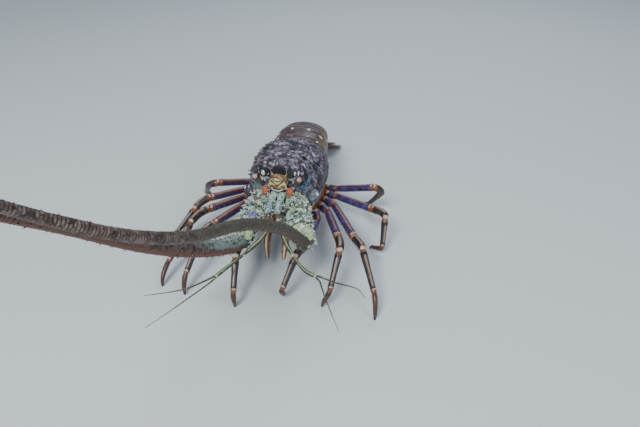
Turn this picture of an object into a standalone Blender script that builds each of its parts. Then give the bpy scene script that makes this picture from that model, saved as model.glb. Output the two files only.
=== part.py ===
"""A life-size Caribbean spiny lobster, standing on its ten walking legs with both antennae raised.

All sizes below are in millimetres. The head looks along -Y, +X is the animal's left and +Z is up. Each shell
piece is one closed solid, and neighbours keep a gap of 0.3 mm. At the end the whole animal is moved so that the
origin is at the middle of its bounding box, on the floor.
"""

import math
import random

import bmesh
import bpy
from mathutils import Vector

MM = 0.001
GAP = 0.3
UP = Vector((0, 0, 1))
FORWARD = Vector((0, -1, 0))
SIDES = {"left": 1, "right": -1}

# Cephalothorax: y, half width, top and bottom of each cross-section, from the front face to the rear edge
FRONT_Y = -52.0
REAR_Y = 52.0
CARAPACE_STATIONS = [
    (FRONT_Y, 33.5, 114.5, 47.0),
    (-47.0, 37.0, 117.0, 44.5),
    (-30.0, 42.5, 117.0, 42.0),
    (-12.0, 46.0, 116.0, 39.5),
    (4.0, 47.5, 114.0, 37.0),
    (22.0, 48.0, 110.5, 34.5),
    (38.0, 46.5, 104.5, 32.0),
    (48.0, 43.5, 98.5, 36.0),
    (REAR_Y, 41.0, 95.5, 42.0),
]
CARAPACE_RINGS = 19
CARAPACE_SIDES = 26
WIDEST_SHARE = 0.42
BELLY_Z = 43.0
BELLY_SLOPE = -0.13
GROOVE_DEPTH = 2.4
GROOVE_HALF_WIDTH = 4.5
GROOVE_Y = 3.0
GROOVE_SWEEP = 30.0
RIM_Y = 44.5
RIM_DEPTH = 1.3
RIM_HALF_WIDTH = 2.2

# Carapace spines: angle from the top in degrees, first and last y, count, first and last length
SPINE_ROWS = [
    (12.0, -40.0, -8.0, 4, 8.0, 5.5),
    (31.0, -39.0, -11.0, 4, 10.0, 6.5),
    (49.0, -38.0, -12.0, 4, 9.0, 6.0),
    (67.0, -39.0, -20.0, 3, 8.0, 5.5),
    (84.0, -30.0, -16.0, 2, 6.0, 5.0),
    (10.0, 12.0, 38.0, 4, 4.5, 3.5),
    (28.0, 10.0, 40.0, 4, 5.0, 4.0),
    (46.0, 6.0, 38.0, 4, 5.0, 4.0),
    (64.0, 0.0, 40.0, 5, 5.0, 4.0),
    (82.0, -8.0, 36.0, 5, 4.5, 3.5),
]
# Rounded boss low on either front corner: its middle and radius
BOSS_MIDDLE = (39.0, -43.5, 72.5)
BOSS_RADIUS = 8.2
SPINE_STOUTNESS = 0.24
SPINE_LEAN = 0.75
SPINE_SIDES = 5
SPINE_JITTER = 0.12

# Abdomen: length, downward angle, half width, height above and below the middle, of each segment
ABDOMEN_START_Z = 69.5
ABDOMEN_SEGMENTS = [
    (17.0, -6.0, 37.0, 25.0, 20.0),
    (25.0, 1.0, 37.8, 25.5, 20.0),
    (24.0, 13.0, 36.6, 24.2, 19.0),
    (23.0, 24.0, 34.6, 22.5, 17.5),
    (22.0, 33.0, 31.5, 20.0, 15.5),
    (26.0, 38.0, 27.5, 15.5, 12.5),
]
ABDOMEN_SIDES = 18
FRONT_STEP = 0.93
TERGITE_PROFILE = [(0.0, FRONT_STEP), (0.16, 0.975), (0.42, 1.0), (0.55, 0.975), (0.7, 1.0), (1.0, 0.995)]
TAIL_TAPER = 0.86
PLEURON_LENGTH = 17.0
PLEOPOD_LENGTH = 15.0
PLEOPOD_SEGMENTS = (1, 2, 3, 4)

# Tail fan
FAN_ANGLE = 25.0
FAN_LENGTH = 53.0
FAN_THICKNESS = 4.2
FAN_EDGE = 1.5
TELSON_OUTLINE = [(0.0, 8.0), (0.16, 11.5), (0.55, 14.5), (0.82, 15.5), (0.95, 12.5), (1.0, 8.0)]
UROPOD_OUTLINE = [(0.0, 3.2), (0.12, 5.6), (0.3, 9.0), (0.62, 12.5), (0.86, 10.5), (0.96, 6.5), (1.0, 3.0)]
UROPOD_THINNING = 0.8
# For each uropod: root offset to the side, splay in degrees, drop below the telson
UROPODS = {"inner": (12.0, 17.0, 4.4), "outer": (15.0, 29.0, 8.2)}

# Horns, eyes and antennular plate on the front face
HORN_BASE = (16.0, 106.5)
HORN_ROUTE = [(0.0, 0.0, 0.0), (-0.3, -6.5, 3.5), (0.2, -12.5, 10.0), (1.8, -17.0, 20.5)]
HORN_HALF = (6.8, 7.2)
EYE_BASE = (22.0, 96.5)
EYE_LOOK = (0.40, -0.45, 0.80)
EYESTALK_RADIUS = 4.0
EYESTALK_NECK = 3.6
EYESTALK_LENGTH = 6.0
EYE_RADIUS = 4.2
PLATE_Z = 95.5
PLATE_HALF = (11.5, 9.5)
PLATE_DEPTH = 10.0

# Antennules: the route of each stem from the head to its fork, and where its two whips end
ANTENNULE_BASE = (4.8, 81.6)
ANTENNULES = {
    "left": {
        "stem": [(6.0, -88.0, 81.0), (12.0, -112.0, 80.0), (24.5, -135.5, 73.0), (46.0, -152.0, 53.0),
                 (61.0, -157.0, 49.0)],
        "outer": [(80.0, -158.5, 45.0), (105.7, -158.0, 38.0), (114.0, -162.0, 30.0)],
        "inner": [(74.0, -178.0, 40.0), (92.0, -210.0, 30.0)],
    },
    "right": {
        "stem": [(-4.5, -88.0, 81.0), (-1.0, -108.0, 82.0), (2.5, -130.0, 79.0), (-12.8, -145.0, 66.0),
                 (-29.0, -155.5, 54.5), (-44.0, -171.0, 47.0)],
        "outer": [(-72.0, -189.0, 42.0), (-116.0, -197.0, 33.0)],
        "inner": [(-66.0, -198.0, 38.0), (-96.5, -234.0, 30.0)],
    },
}
STEM_RADII = [4.2, 4.1, 3.6, 3.2, 3.4, 2.2, 2.1, 2.3, 2.5, 1.7, 1.8, 2.1, 2.3]

# Antennae: joints of the three stout base segments and the route of the long whip
ANTENNA_BASE = (20.5, 69.0)
ANTENNA_HALF = [(13.6, 13.2), (14.6, 13.2), (13.0, 11.8), (9.8, 9.2)]
ANTENNA_JOINTS = {
    "left": [(26.5, -79.0, 68.0), (35.5, -107.0, 68.0), (44.0, -132.0, 73.0)],
    "right": [(-23.0, -80.0, 67.0), (-26.0, -109.0, 66.0), (-26.0, -136.0, 68.0)],
}
# Rounded lobe on the first base segment, beside the antennular plate: its middle, half width and half height
LOBE_MIDDLE = (14.8, -61.0, 85.5)
LOBE_HALF = (4.6, 6.8)
# Rows of spines on each base segment: which cross-section, and how many
ANTENNA_SPINES = ((1, 4), (2, 3), (3, 5))
ANTENNA_SPINE_SWEEP = (-38, 122)
WHIP_ROUTES = {
    "left": [(33.0, -178.0, 126.0), (16.0, -230.0, 169.5), (-1.2, -286.5, 201.0), (-19.0, -329.0, 235.0),
             (-42.0, -368.0, 279.5), (-50.0, -408.0, 330.0), (-53.0, -446.0, 385.0)],
    "right": [(-27.5, -180.5, 98.0), (-33.0, -235.0, 142.0), (-39.0, -284.0, 188.0), (-46.2, -337.0, 245.0),
              (-54.0, -372.0, 281.0), (-70.0, -418.0, 328.0), (-92.0, -458.0, 370.0)],
}
WHIP_BASE_RADII = {"left": 6.2, "right": 8.6}
WHIP_TAPER = 0.7
WHIP_TIP_RADIUS = 0.7
WHIP_SIDES = 8
WHIP_RINGS = 10
WHIP_SPINES = (26, 16, 0)
WHIP_SPINE_LENGTH = 4.4

# Walking legs: where each coxa leaves the breastplate, and for each leg its ischium end, knee and foot
COXA_Y = (-31.0, -14.5, 2.0, 18.5, 35.0)
COXA_REACH = (39.0, 43.0, 45.0, 45.5, 44.0)
COXA_RADIUS = 6.2
COXA_DROP = 7.2
LEG_SIDES = 7
LEGS = {
    "left": [
        ((45.0, -46.0, 38.0), (37.0, -104.0, 41.0), (21.0, -143.0)),
        ((55.0, -26.0, 37.0), (75.5, -87.0, 47.0), (67.0, -153.0)),
        ((61.0, -9.0, 36.0), (93.0, -72.0, 37.0), (126.0, -163.0)),
        ((62.0, 13.0, 35.0), (111.0, -21.0, 44.0), (113.0, -46.0)),
        ((60.0, 33.0, 34.0), (110.0, 19.0, 50.0), (86.0, 44.0)),
    ],
    "right": [
        ((-47.0, -47.0, 37.0), (-37.0, -112.0, 40.0), (-29.0, -168.0)),
        ((-55.0, -26.0, 37.0), (-77.0, -82.0, 45.0), (-91.0, -159.0)),
        ((-61.0, -9.0, 36.0), (-93.0, -54.0, 45.0), (-122.0, -150.0)),
        ((-62.0, 13.0, 35.0), (-99.0, -31.0, 46.0), (-142.0, -92.0)),
        ((-60.0, 33.0, 34.0), (-97.0, -1.0, 50.0), (-128.0, 38.0)),
    ],
}
LOWER_LEG_SHARES = {"carpus": 0.22, "propodus": 0.5}
LOWER_LEG_LENGTHS = (80.0, 91.0, 108.0, 80.0, 76.0)
FOOT_RADIUS = 1.3
LEG_BOW = 0.55

# Mouthparts and breastplate
STERNUM_FRONT_Y = -42.0
STERNUM_REAR_Y = 46.0
STERNUM_DEPTH = 13.0
STERNUM_HALF_WIDTHS = (13.5, 24.0)
MAXILLIPED_X = 6.6
MAXILLIPED_ROUTES = {
    "left": [(9.6, -14.0, -2.0), (13.1, -36.0, -1.0), (14.6, -54.0, -5.0), (13.6, -62.0, -22.0)],
    "right": [(-8.1, -14.0, -2.0), (-8.6, -36.0, -1.0), (-8.1, -54.0, -5.0), (-6.1, -62.0, -22.0)],
}
MAXILLIPED_RADII = (4.4, 4.6, 4.8, 4.8, 4.6, 4.0, 4.5, 4.5, 4.1, 3.4, 2.0)

COLOURS = {
    "shell_grey": ((0.27, 0.24, 0.30), 0.55),
    "tail_maroon": ((0.16, 0.05, 0.04), 0.5),
    "horn_black": ((0.05, 0.06, 0.06), 0.4),
    "eye_dark": ((0.12, 0.07, 0.06), 0.15),
    "face_cream": ((0.62, 0.52, 0.33), 0.5),
    "antenna_teal": ((0.33, 0.42, 0.38), 0.6),
    "antennule_green": ((0.13, 0.19, 0.09), 0.5),
    "leg_violet": ((0.11, 0.07, 0.24), 0.45),
    "leg_brown": ((0.20, 0.10, 0.06), 0.5),
    "belly_tan": ((0.42, 0.34, 0.26), 0.6),
}


def clear_scene():
    """Removes what the startup file holds."""
    for thing in list(bpy.data.objects):
        bpy.data.objects.remove(thing)


def material(name):
    """The Principled material of one colour, made once."""
    if name in bpy.data.materials:
        return bpy.data.materials[name]
    colour, roughness = COLOURS[name]
    made = bpy.data.materials.new(name)
    made.use_nodes = True
    shader = made.node_tree.nodes["Principled BSDF"]
    shader.inputs["Base Color"].default_value = (*colour, 1.0)
    shader.inputs["Roughness"].default_value = roughness
    return made


def between(stations, at):
    """Smooth values between stations, each a tuple whose first number is its place."""
    places = [s[0] for s in stations]
    at = min(max(at, places[0]), places[-1])
    index = max(i for i in range(len(places) - 1) if places[i] <= at)
    before, start, end, after = (
        stations[max(index - 1, 0)],
        stations[index],
        stations[index + 1],
        stations[min(index + 2, len(stations) - 1)],
    )
    t = (at - start[0]) / (end[0] - start[0])
    values = []
    for k in range(1, len(start)):
        slope_in = (end[k] - before[k]) / (end[0] - before[0]) * (end[0] - start[0])
        slope_out = (after[k] - start[k]) / (after[0] - start[0]) * (end[0] - start[0])
        values.append(
            (2 * t**3 - 3 * t**2 + 1) * start[k] + (t**3 - 2 * t**2 + t) * slope_in
            + (3 * t**2 - 2 * t**3) * end[k] + (t**3 - t**2) * slope_out
        )
    return values


def smooth_route(points, count):
    """Evenly spaced points on one smooth curve through the given points."""
    points = [Vector(p) for p in points]
    reach = [0.0]
    for a, b in zip(points, points[1:]):
        reach.append(reach[-1] + (b - a).length)
    stations = [(r, *p) for r, p in zip(reach, points)]
    return [Vector(between(stations, reach[-1] * i / (count - 1))) for i in range(count)]


def hermite(start, start_pull, end, end_pull, t):
    """A point on the curve that leaves start along start_pull and reaches end along end_pull."""
    return (
        start * (2 * t**3 - 3 * t**2 + 1) + start_pull * (t**3 - 2 * t**2 + t)
        + end * (3 * t**2 - 2 * t**3) + end_pull * (t**3 - t**2)
    )


def unit(vector):
    return Vector(vector).normalized()


def loft(rings, tip=False):
    """A closed shape through rings of points, with flat ends or a pointed far end."""
    count = len(rings[0])
    points = [p for ring in rings for p in ring]
    faces = []
    for i in range(len(rings) - 1):
        for j in range(count):
            a, b = i * count + j, i * count + (j + 1) % count
            faces.append((a, b, b + count))
            faces.append((a, b + count, a + count))
    faces.append(tuple(reversed(range(count))))
    last = (len(rings) - 1) * count
    if tip:
        middle = sum(rings[-1], Vector()) / count
        heading = unit(middle - sum(rings[-2], Vector()) / count)
        reach = (rings[-1][0] - middle).length
        points.append(middle + heading * reach)
        faces.extend((last + j, last + (j + 1) % count, len(points) - 1) for j in range(count))
    else:
        faces.append(tuple(last + j for j in range(count)))
    return points, faces


def ring(centre, normal, upward, half_width, half_height, sides, power=2.0):
    """Points round an oval, facing along normal."""
    across = unit(upward.cross(normal))
    over = normal.cross(across)
    made = []
    for j in range(sides):
        angle = 2 * math.pi * j / sides
        c, s = math.cos(angle), math.sin(angle)
        x = math.copysign(abs(c) ** (2 / power), c) * half_width
        z = math.copysign(abs(s) ** (2 / power), s) * half_height
        made.append(centre + across * x + over * z)
    return made


def tube(points, halves, sides, upward=UP, first_normal=None, last_normal=None, tip=False):
    """A tube through points, each with a half width and a half height, that never twists."""
    rings = []
    lift = upward
    for i, p in enumerate(points):
        heading = unit(points[min(i + 1, len(points) - 1)] - points[max(i - 1, 0)])
        if i == 0 and first_normal is not None:
            heading = unit(first_normal)
        if i == len(points) - 1 and last_normal is not None:
            heading = unit(last_normal)
        lift = lift - heading * lift.dot(heading)
        lift = unit(lift) if lift.length > 0.05 else heading.orthogonal().normalized()
        rings.append(ring(p, heading, lift, halves[i][0], halves[i][1], sides))
    return loft(rings, tip)


def spine(root, direction, length, radius, sides=SPINE_SIDES, sink=0.45):
    """A pointed cone that stands on root, with its foot sunk below it."""
    direction = unit(direction)
    side = direction.orthogonal().normalized()
    over = direction.cross(side)
    foot = root - direction * length * sink
    wide = radius * (1 + sink)
    base = [
        foot + (side * math.cos(2 * math.pi * j / sides) + over * math.sin(2 * math.pi * j / sides)) * wide
        for j in range(sides)
    ]
    points = [*base, root + direction * length]
    faces = [tuple(reversed(range(sides)))]
    faces += [(j, (j + 1) % sides, sides) for j in range(sides)]
    return points, faces


def blade(root, direction, flat_normal, length, half_width, half_thickness):
    """A flat pointed plate that stands on root, with its foot sunk below it."""
    direction = unit(direction)
    flat_normal = unit(flat_normal - direction * flat_normal.dot(direction))
    rings = []
    for at, wide, thick in ((-0.35, 1.0, 1.0), (0.15, 0.95, 0.9), (0.6, 0.6, 0.6), (0.95, 0.16, 0.3)):
        rings.append(
            ring(root + direction * length * at, direction, flat_normal,
                 half_width * wide, half_thickness * thick, 6)
        )
    return loft(rings)


def ball(middle, radius, height=None, sides=8, rows=5):
    """A round or upright oval ball, closed by a point at either end."""
    height = height or radius
    rings = []
    for i in range(1, rows + 1):
        turn = math.pi * i / (rows + 1)
        at = middle + UP * -height * math.cos(turn)
        rings.append(ring(at, UP, FORWARD, radius * math.sin(turn), radius * math.sin(turn), sides))
    points, faces = loft(rings)
    last = (rows - 1) * sides
    faces = faces[:-2]
    points += [middle - UP * height, middle + UP * height]
    for j in range(sides):
        after = (j + 1) % sides
        faces.append((after, j, len(points) - 2))
        faces.append((last + j, last + after, len(points) - 1))
    return points, faces


def mesh_object(name, shape, colour):
    """A Blender object from a shape in millimetres."""
    points, faces = shape
    mesh = bpy.data.meshes.new(name)
    mesh.from_pydata([p * MM for p in points], [], faces)
    mesh.materials.append(material(colour))
    mesh.shade_smooth()
    made = bpy.data.objects.new(name, mesh)
    bpy.context.scene.collection.objects.link(made)
    return made


def islands(work):
    """The face sets of a bmesh that hang together."""
    left = set(work.faces)
    found = []
    while left:
        seed = left.pop()
        island, edge_of = {seed}, [seed]
        while edge_of:
            face = edge_of.pop()
            for edge in face.edges:
                for other in edge.link_faces:
                    if other in left:
                        left.remove(other)
                        island.add(other)
                        edge_of.append(other)
        found.append(island)
    return found


def volume_of(faces):
    total = 0.0
    for face in faces:
        corners = [v.co for v in face.verts]
        for a, b in zip(corners[1:], corners[2:]):
            total += corners[0].dot(a.cross(b)) / 6
    return total


def keep_largest(mesh):
    """Drops every closed surface but the largest one."""
    work = bmesh.new()
    work.from_mesh(mesh)
    found = sorted(islands(work), key=volume_of, reverse=True)
    loose = [face for island in found[1:] for face in island]
    bmesh.ops.delete(work, geom=loose, context="FACES")
    work.to_mesh(mesh)
    work.free()


def fuse(name, body, extras, colour, solver="EXACT"):
    """One closed object: the body joined with every extra shape."""
    whole = mesh_object(name, body, colour)
    if not extras:
        return whole
    pieces = bpy.data.collections.new(name + "_pieces")
    bpy.context.scene.collection.children.link(pieces)
    for index, shape in enumerate(extras):
        piece = mesh_object(f"{name}_piece_{index}", shape, colour)
        bpy.context.scene.collection.objects.unlink(piece)
        pieces.objects.link(piece)
    join = whole.modifiers.new("join", "BOOLEAN")
    join.operation = "UNION"
    join.operand_type = "COLLECTION"
    join.collection = pieces
    join.solver = solver
    graph = bpy.context.evaluated_depsgraph_get()
    joined = bpy.data.meshes.new_from_object(whole.evaluated_get(graph))
    whole.modifiers.clear()
    whole.data = joined
    for piece in list(pieces.objects):
        bpy.data.objects.remove(piece)
    bpy.data.collections.remove(pieces)
    keep_largest(joined)
    joined.shade_smooth()
    return whole


def belly_z(y):
    """Height of the flat underside of the cephalothorax."""
    return BELLY_Z + BELLY_SLOPE * y


def carapace_point(y, angle):
    """A point on the carapace; angle runs from the top towards the animal's left, in degrees."""
    half_width, top, bottom = between(CARAPACE_STATIONS, y)
    middle = bottom + WIDEST_SHARE * (top - bottom)
    turn = math.radians(angle)
    c, s = math.cos(turn), math.sin(turn)
    power = 2.25 if c > 0 else 2.6
    height = top - middle if c > 0 else middle - bottom
    x = math.copysign(abs(s) ** (2 / power), s) * half_width
    z = math.copysign(abs(c) ** (2 / power), c) * height
    around = abs((angle + 180) % 360 - 180)
    groove_y = GROOVE_Y - GROOVE_SWEEP * (around / 90) ** 1.6
    fade = min(max((115 - around) / 30, 0), 1)
    sunk = GROOVE_DEPTH * fade * math.exp(-(((y - groove_y) / GROOVE_HALF_WIDTH) ** 2))
    sunk += RIM_DEPTH * fade * math.exp(-(((y - RIM_Y) / RIM_HALF_WIDTH) ** 2))
    reach = math.hypot(x, z)
    x, z = x * (1 - sunk / reach), z * (1 - sunk / reach)
    return Vector((x, y, max(middle + z, belly_z(y))))


def carapace_normal(y, angle):
    """The outward direction of the carapace's surface."""
    along = carapace_point(y + 1.5, angle) - carapace_point(y - 1.5, angle)
    around = carapace_point(y, angle + 3) - carapace_point(y, angle - 3)
    return unit(around.cross(along))


def build_carapace():
    """The shell over head and chest, with its rows of forward-leaning spines."""
    draw = random.Random(7)
    rings = []
    for i in range(CARAPACE_RINGS):
        t = i / (CARAPACE_RINGS - 1)
        y = FRONT_Y + (REAR_Y - FRONT_Y) * t
        rings.append([carapace_point(y, -360 * j / CARAPACE_SIDES) for j in range(CARAPACE_SIDES)])
    spines = []
    for angle, first_y, last_y, count, first_length, last_length in SPINE_ROWS:
        for i in range(count):
            t = i / max(count - 1, 1)
            shift_y = draw.uniform(-1, 1) * SPINE_JITTER * 10
            shift_angle = draw.uniform(-1, 1) * SPINE_JITTER * 20
            length = (first_length + (last_length - first_length) * t) * draw.uniform(0.88, 1.12)
            for side in SIDES.values():
                y = first_y + (last_y - first_y) * t + shift_y
                at = side * (angle + shift_angle)
                root = carapace_point(y, at)
                out = carapace_normal(y, at)
                spines.append(spine(root, out + FORWARD * SPINE_LEAN, length, length * SPINE_STOUTNESS))
    for side in SIDES.values():
        spines.append(ball(Vector((side * BOSS_MIDDLE[0], *BOSS_MIDDLE[1:])), BOSS_RADIUS))
    fuse("carapace", loft(rings), spines, "shell_grey")


def coxa_end(side, index):
    """The middle of the flat end of a coxa, where the leg begins."""
    y = COXA_Y[index]
    reach = COXA_REACH[index]
    toward = Vector(LEGS[side][index][0])
    start = Vector((SIDES[side] * reach, y, belly_z(y) - COXA_DROP))
    return start, unit(toward - start)


def build_sternum():
    """The breastplate under the chest, with the coxae of all ten legs."""
    rings = []
    for y, half_width in zip((STERNUM_FRONT_Y, STERNUM_REAR_Y), STERNUM_HALF_WIDTHS):
        top = belly_z(y) - GAP
        corners = [(half_width, 0.0), (half_width, -0.55), (half_width * 0.55, -1.0)]
        outline = corners + [(-x, z) for x, z in reversed(corners)]
        rings.append([Vector((x, y, top + z * STERNUM_DEPTH)) for x, z in reversed(outline)])
    coxae = []
    for side, sign in SIDES.items():
        for index, y in enumerate(COXA_Y):
            end, heading = coxa_end(side, index)
            share = (y - STERNUM_FRONT_Y) / (STERNUM_REAR_Y - STERNUM_FRONT_Y)
            inner = STERNUM_HALF_WIDTHS[0] * (1 - share) + STERNUM_HALF_WIDTHS[1] * share
            start = Vector((sign * (inner - 7), y, end.z))
            middle = start.lerp(end, 0.6)
            halves = [(COXA_RADIUS * 0.9,) * 2, (COXA_RADIUS,) * 2, (COXA_RADIUS * 0.97,) * 2]
            coxae.append(tube([start, middle, end], halves, LEG_SIDES, last_normal=heading))
    fuse("sternum", loft(rings), coxae, "belly_tan")


def build_upper_leg(side, index):
    """Ischium and merus of one leg, from the coxa to the knee."""
    start, heading = coxa_end(side, index)
    elbow, knee = (Vector(p) for p in LEGS[side][index][:2])
    start = start + heading * GAP
    merus = unit(knee - elbow)
    swell = 1.0 if index in (1, 2) else 0.94
    stations = [
        (start, 5.9), (start.lerp(elbow, 0.5), 5.6), (elbow - heading * 2.2 - merus * 0.6, 4.9),
        (elbow + merus * 0.8, 4.3), (elbow + merus * 4.5, 4.7),
        (elbow.lerp(knee, 0.4), 5.1), (elbow.lerp(knee, 0.85), 5.0), (knee, 4.6),
    ]
    points = [p for p, _ in stations]
    halves = [(r * swell, r * swell) for _, r in stations]
    halves[0] = (5.9, 5.9)
    body = tube(points, halves, LEG_SIDES, first_normal=heading, last_normal=merus)
    lift = unit(UP - merus * merus.z)
    out = unit(merus.cross(UP)) * SIDES[side] * -1
    spines = [
        spine(knee - merus * 5.0 + lift * 3.6, merus * 0.8 + lift, 6.0, 1.6),
        spine(knee - merus * 4.0 + out * 3.6, merus * 0.8 + out, 5.0, 1.5),
    ]
    fuse(f"leg_{side}_{index + 1}_upper", body, spines, "leg_violet")


def lower_leg_joints(knee, merus, foot, length):
    """Wrist and ankle on an arc of the given length that bows outward from knee to foot."""
    start = knee + merus * 7.0
    chord = foot - start
    ratio = min(chord.length / length, 0.985)
    half_turn = 1.0
    for _ in range(40):
        half_turn -= (math.sin(half_turn) / half_turn - ratio) / (
            (half_turn * math.cos(half_turn) - math.sin(half_turn)) / half_turn**2
        )
    along = unit(chord)
    outward = Vector((merus.x, merus.y, 0)) + UP * LEG_BOW
    bow = unit(outward - along * outward.dot(along))
    radius = chord.length / (2 * math.sin(half_turn))
    centre = start + chord / 2 - bow * radius * math.cos(half_turn)
    joints = []
    reach = 0.0
    for share in LOWER_LEG_SHARES.values():
        reach += share
        angle = -half_turn + 2 * half_turn * reach
        joints.append(centre + bow * radius * math.cos(angle) + along * radius * math.sin(angle))
    return joints


def build_lower_leg(side, index):
    """Carpus, propodus and dactyl of one leg, from the knee to the small flat foot."""
    elbow, knee = (Vector(p) for p in LEGS[side][index][:2])
    foot = Vector((*LEGS[side][index][2], 0.0))
    merus = unit(knee - elbow)
    wrist, ankle = lower_leg_joints(knee, merus, foot, LOWER_LEG_LENGTHS[index])
    start = knee + merus * GAP
    shank = ankle - wrist
    pull = (wrist - start).length
    stations = [(hermite(start, merus * pull, wrist, unit(shank) * pull, t), r)
                for t, r in ((0.0, 4.5), (0.22, 5.0), (0.5, 4.9), (0.78, 4.5), (0.97, 3.9))]
    stations += [(wrist + unit(shank) * 1.8, 3.5), (wrist + unit(shank) * 4.2, 4.3),
                 (wrist.lerp(ankle, 0.5), 3.6), (ankle - unit(shank) * 1.5, 3.2)]
    drop = (foot - ankle).length
    claw = [(0.07, 2.7), (0.2, 3.1), (0.5, 2.6), (0.78, 2.0)]
    stations += [(hermite(ankle, unit(shank) * drop, foot, Vector((0, 0, -drop)), t), r) for t, r in claw]
    stations.append((foot, FOOT_RADIUS))
    points = [p for p, _ in stations]
    halves = [(r, r) for _, r in stations]
    shape = tube(points, halves, LEG_SIDES, first_normal=merus, last_normal=(0, 0, -1))
    mesh_object(f"leg_{side}_{index + 1}_lower", shape, "leg_brown")


def abdomen_frame(along):
    """Middle, heading and upward direction of the abdomen at a distance behind the carapace."""
    middle = Vector((0, REAR_Y, ABDOMEN_START_Z))
    for length, angle, *_ in ABDOMEN_SEGMENTS:
        step = min(along, length)
        turn = math.radians(angle)
        heading = Vector((0, math.cos(turn), -math.sin(turn)))
        middle = middle + heading * step
        along -= step
        if along <= 1e-6:
            break
    return middle


def joint_heading(index):
    """Direction of the flat joint in front of a segment: half way between the two segments' own."""
    angles = [0.0] + [s[1] for s in ABDOMEN_SEGMENTS] + [FAN_ANGLE]
    turn = math.radians((angles[index] + angles[index + 1]) / 2) if index else 0.0
    return Vector((0, math.cos(turn), -math.sin(turn)))


def abdomen_ring(middle, heading, half_width, top, bottom):
    """One cross-section of the abdomen: round above, flatter below."""
    over = unit(Vector((1, 0, 0)).cross(heading))
    made = []
    for j in range(ABDOMEN_SIDES):
        angle = 2 * math.pi * j / ABDOMEN_SIDES
        c, s = math.cos(angle), math.sin(angle)
        power, height = (2.2, top) if s > 0 else (3.0, bottom)
        x = math.copysign(abs(c) ** (2 / power), c) * half_width
        z = math.copysign(abs(s) ** (2 / power), s) * height
        made.append(middle - Vector((1, 0, 0)) * x + over * z)
    return made


def build_abdomen():
    """The six tail segments, each a stepped ring with a pointed pleuron on either side."""
    reach = 0.0
    for index, (length, _, half_width, top, bottom) in enumerate(ABDOMEN_SEGMENTS):
        start_plane, end_plane = joint_heading(index), joint_heading(index + 1)
        following = ABDOMEN_SEGMENTS[min(index + 1, len(ABDOMEN_SEGMENTS) - 1)]
        taper = following[2] / half_width if following[2] != half_width else TAIL_TAPER
        rings = []
        for share, scale in TERGITE_PROFILE:
            along = GAP + (length - GAP) * share
            middle = abdomen_frame(reach + along)
            heading = unit(start_plane.lerp(end_plane, share))
            scale *= 1 + (taper - 1) * share
            rings.append(abdomen_ring(middle, heading, half_width * scale, top * scale, bottom * scale))
        extras = []
        heading = unit(abdomen_frame(reach + length) - abdomen_frame(reach))
        over = unit(Vector((1, 0, 0)).cross(heading))
        middle = abdomen_frame(reach + length * 0.5)
        for sign in SIDES.values():
            out = Vector((sign, 0, 0))
            root = middle + out * (half_width - 3.4) - over * bottom * 0.55
            size = 1.0 if index else 0.75
            point = over * -1.0 + heading * 0.32 + out * 0.12
            extras.append(blade(root, point, out, PLEURON_LENGTH * size, min(length * 0.36, 8.0), 2.4))
            if index in PLEOPOD_SEGMENTS:
                foot = middle + out * half_width * 0.45 - over * bottom * 0.9
                lie = over * -0.8 + heading * 0.62 + out * 0.25
                extras.append(blade(foot, lie, heading, PLEOPOD_LENGTH, 5.5, 1.2))
        fuse(f"abdomen_{index + 1}", loft(rings), extras, "tail_maroon")
        reach += length


def fan_plate(root, lie, over, first_normal, outline, thickness):
    """A flat tail plate: its outline follows the stations, and it thins towards the edge."""
    rings = []
    for share, half_width in outline:
        thick = thickness + (FAN_EDGE - thickness) * share
        centre = root + lie * FAN_LENGTH * share
        normal = first_normal if share == 0 else lie
        rings.append(ring(centre, normal, over, half_width, thick / 2, 10, power=2.6))
    points, faces = loft(rings)
    return [Vector((p.x, p.y, max(p.z, 0.0))) for p in points], faces


def build_tail_fan():
    """Telson and the two pairs of uropods behind the last segment."""
    total = sum(s[0] for s in ABDOMEN_SEGMENTS)
    plane = joint_heading(len(ABDOMEN_SEGMENTS))
    turn = math.radians(FAN_ANGLE)
    lie = Vector((0, math.cos(turn), -math.sin(turn)))
    over = unit(Vector((1, 0, 0)).cross(lie))
    root = abdomen_frame(total) + plane * GAP
    telson = fan_plate(root, lie, over, plane, TELSON_OUTLINE, FAN_THICKNESS)
    mesh_object("telson", telson, "tail_maroon")
    for side, sign in SIDES.items():
        for name, (offset, splay, drop) in UROPODS.items():
            angle = math.radians(splay)
            spread = lie * math.cos(angle) + Vector((sign, 0, 0)) * math.sin(angle)
            start = root + Vector((sign * offset, 0, 0))
            start = start - over * drop
            start = start - plane * (start - root).dot(plane)
            shape = fan_plate(start, spread, over, plane, UROPOD_OUTLINE, FAN_THICKNESS * UROPOD_THINNING)
            mesh_object(f"uropod_{side}_{name}", shape, "tail_maroon")


def on_front(side, x, z):
    """A point just off the flat front of the head."""
    return Vector((SIDES[side] * x, FRONT_Y - GAP, z))


def build_horn(side):
    """One of the two large horns over the eyes."""
    root = on_front(side, *HORN_BASE)
    sign = SIDES[side]
    points = smooth_route([root + Vector((sign * x, y, z)) for x, y, z in HORN_ROUTE], 8)
    halves = []
    for i in range(len(points)):
        left = 1 - i / (len(points) - 0.4)
        halves.append((HORN_HALF[0] * left**0.8, HORN_HALF[1] * left**0.8))
    shape = tube(points, halves, 10, first_normal=FORWARD, tip=True)
    mesh_object(f"horn_{side}", shape, "horn_black")


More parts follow.
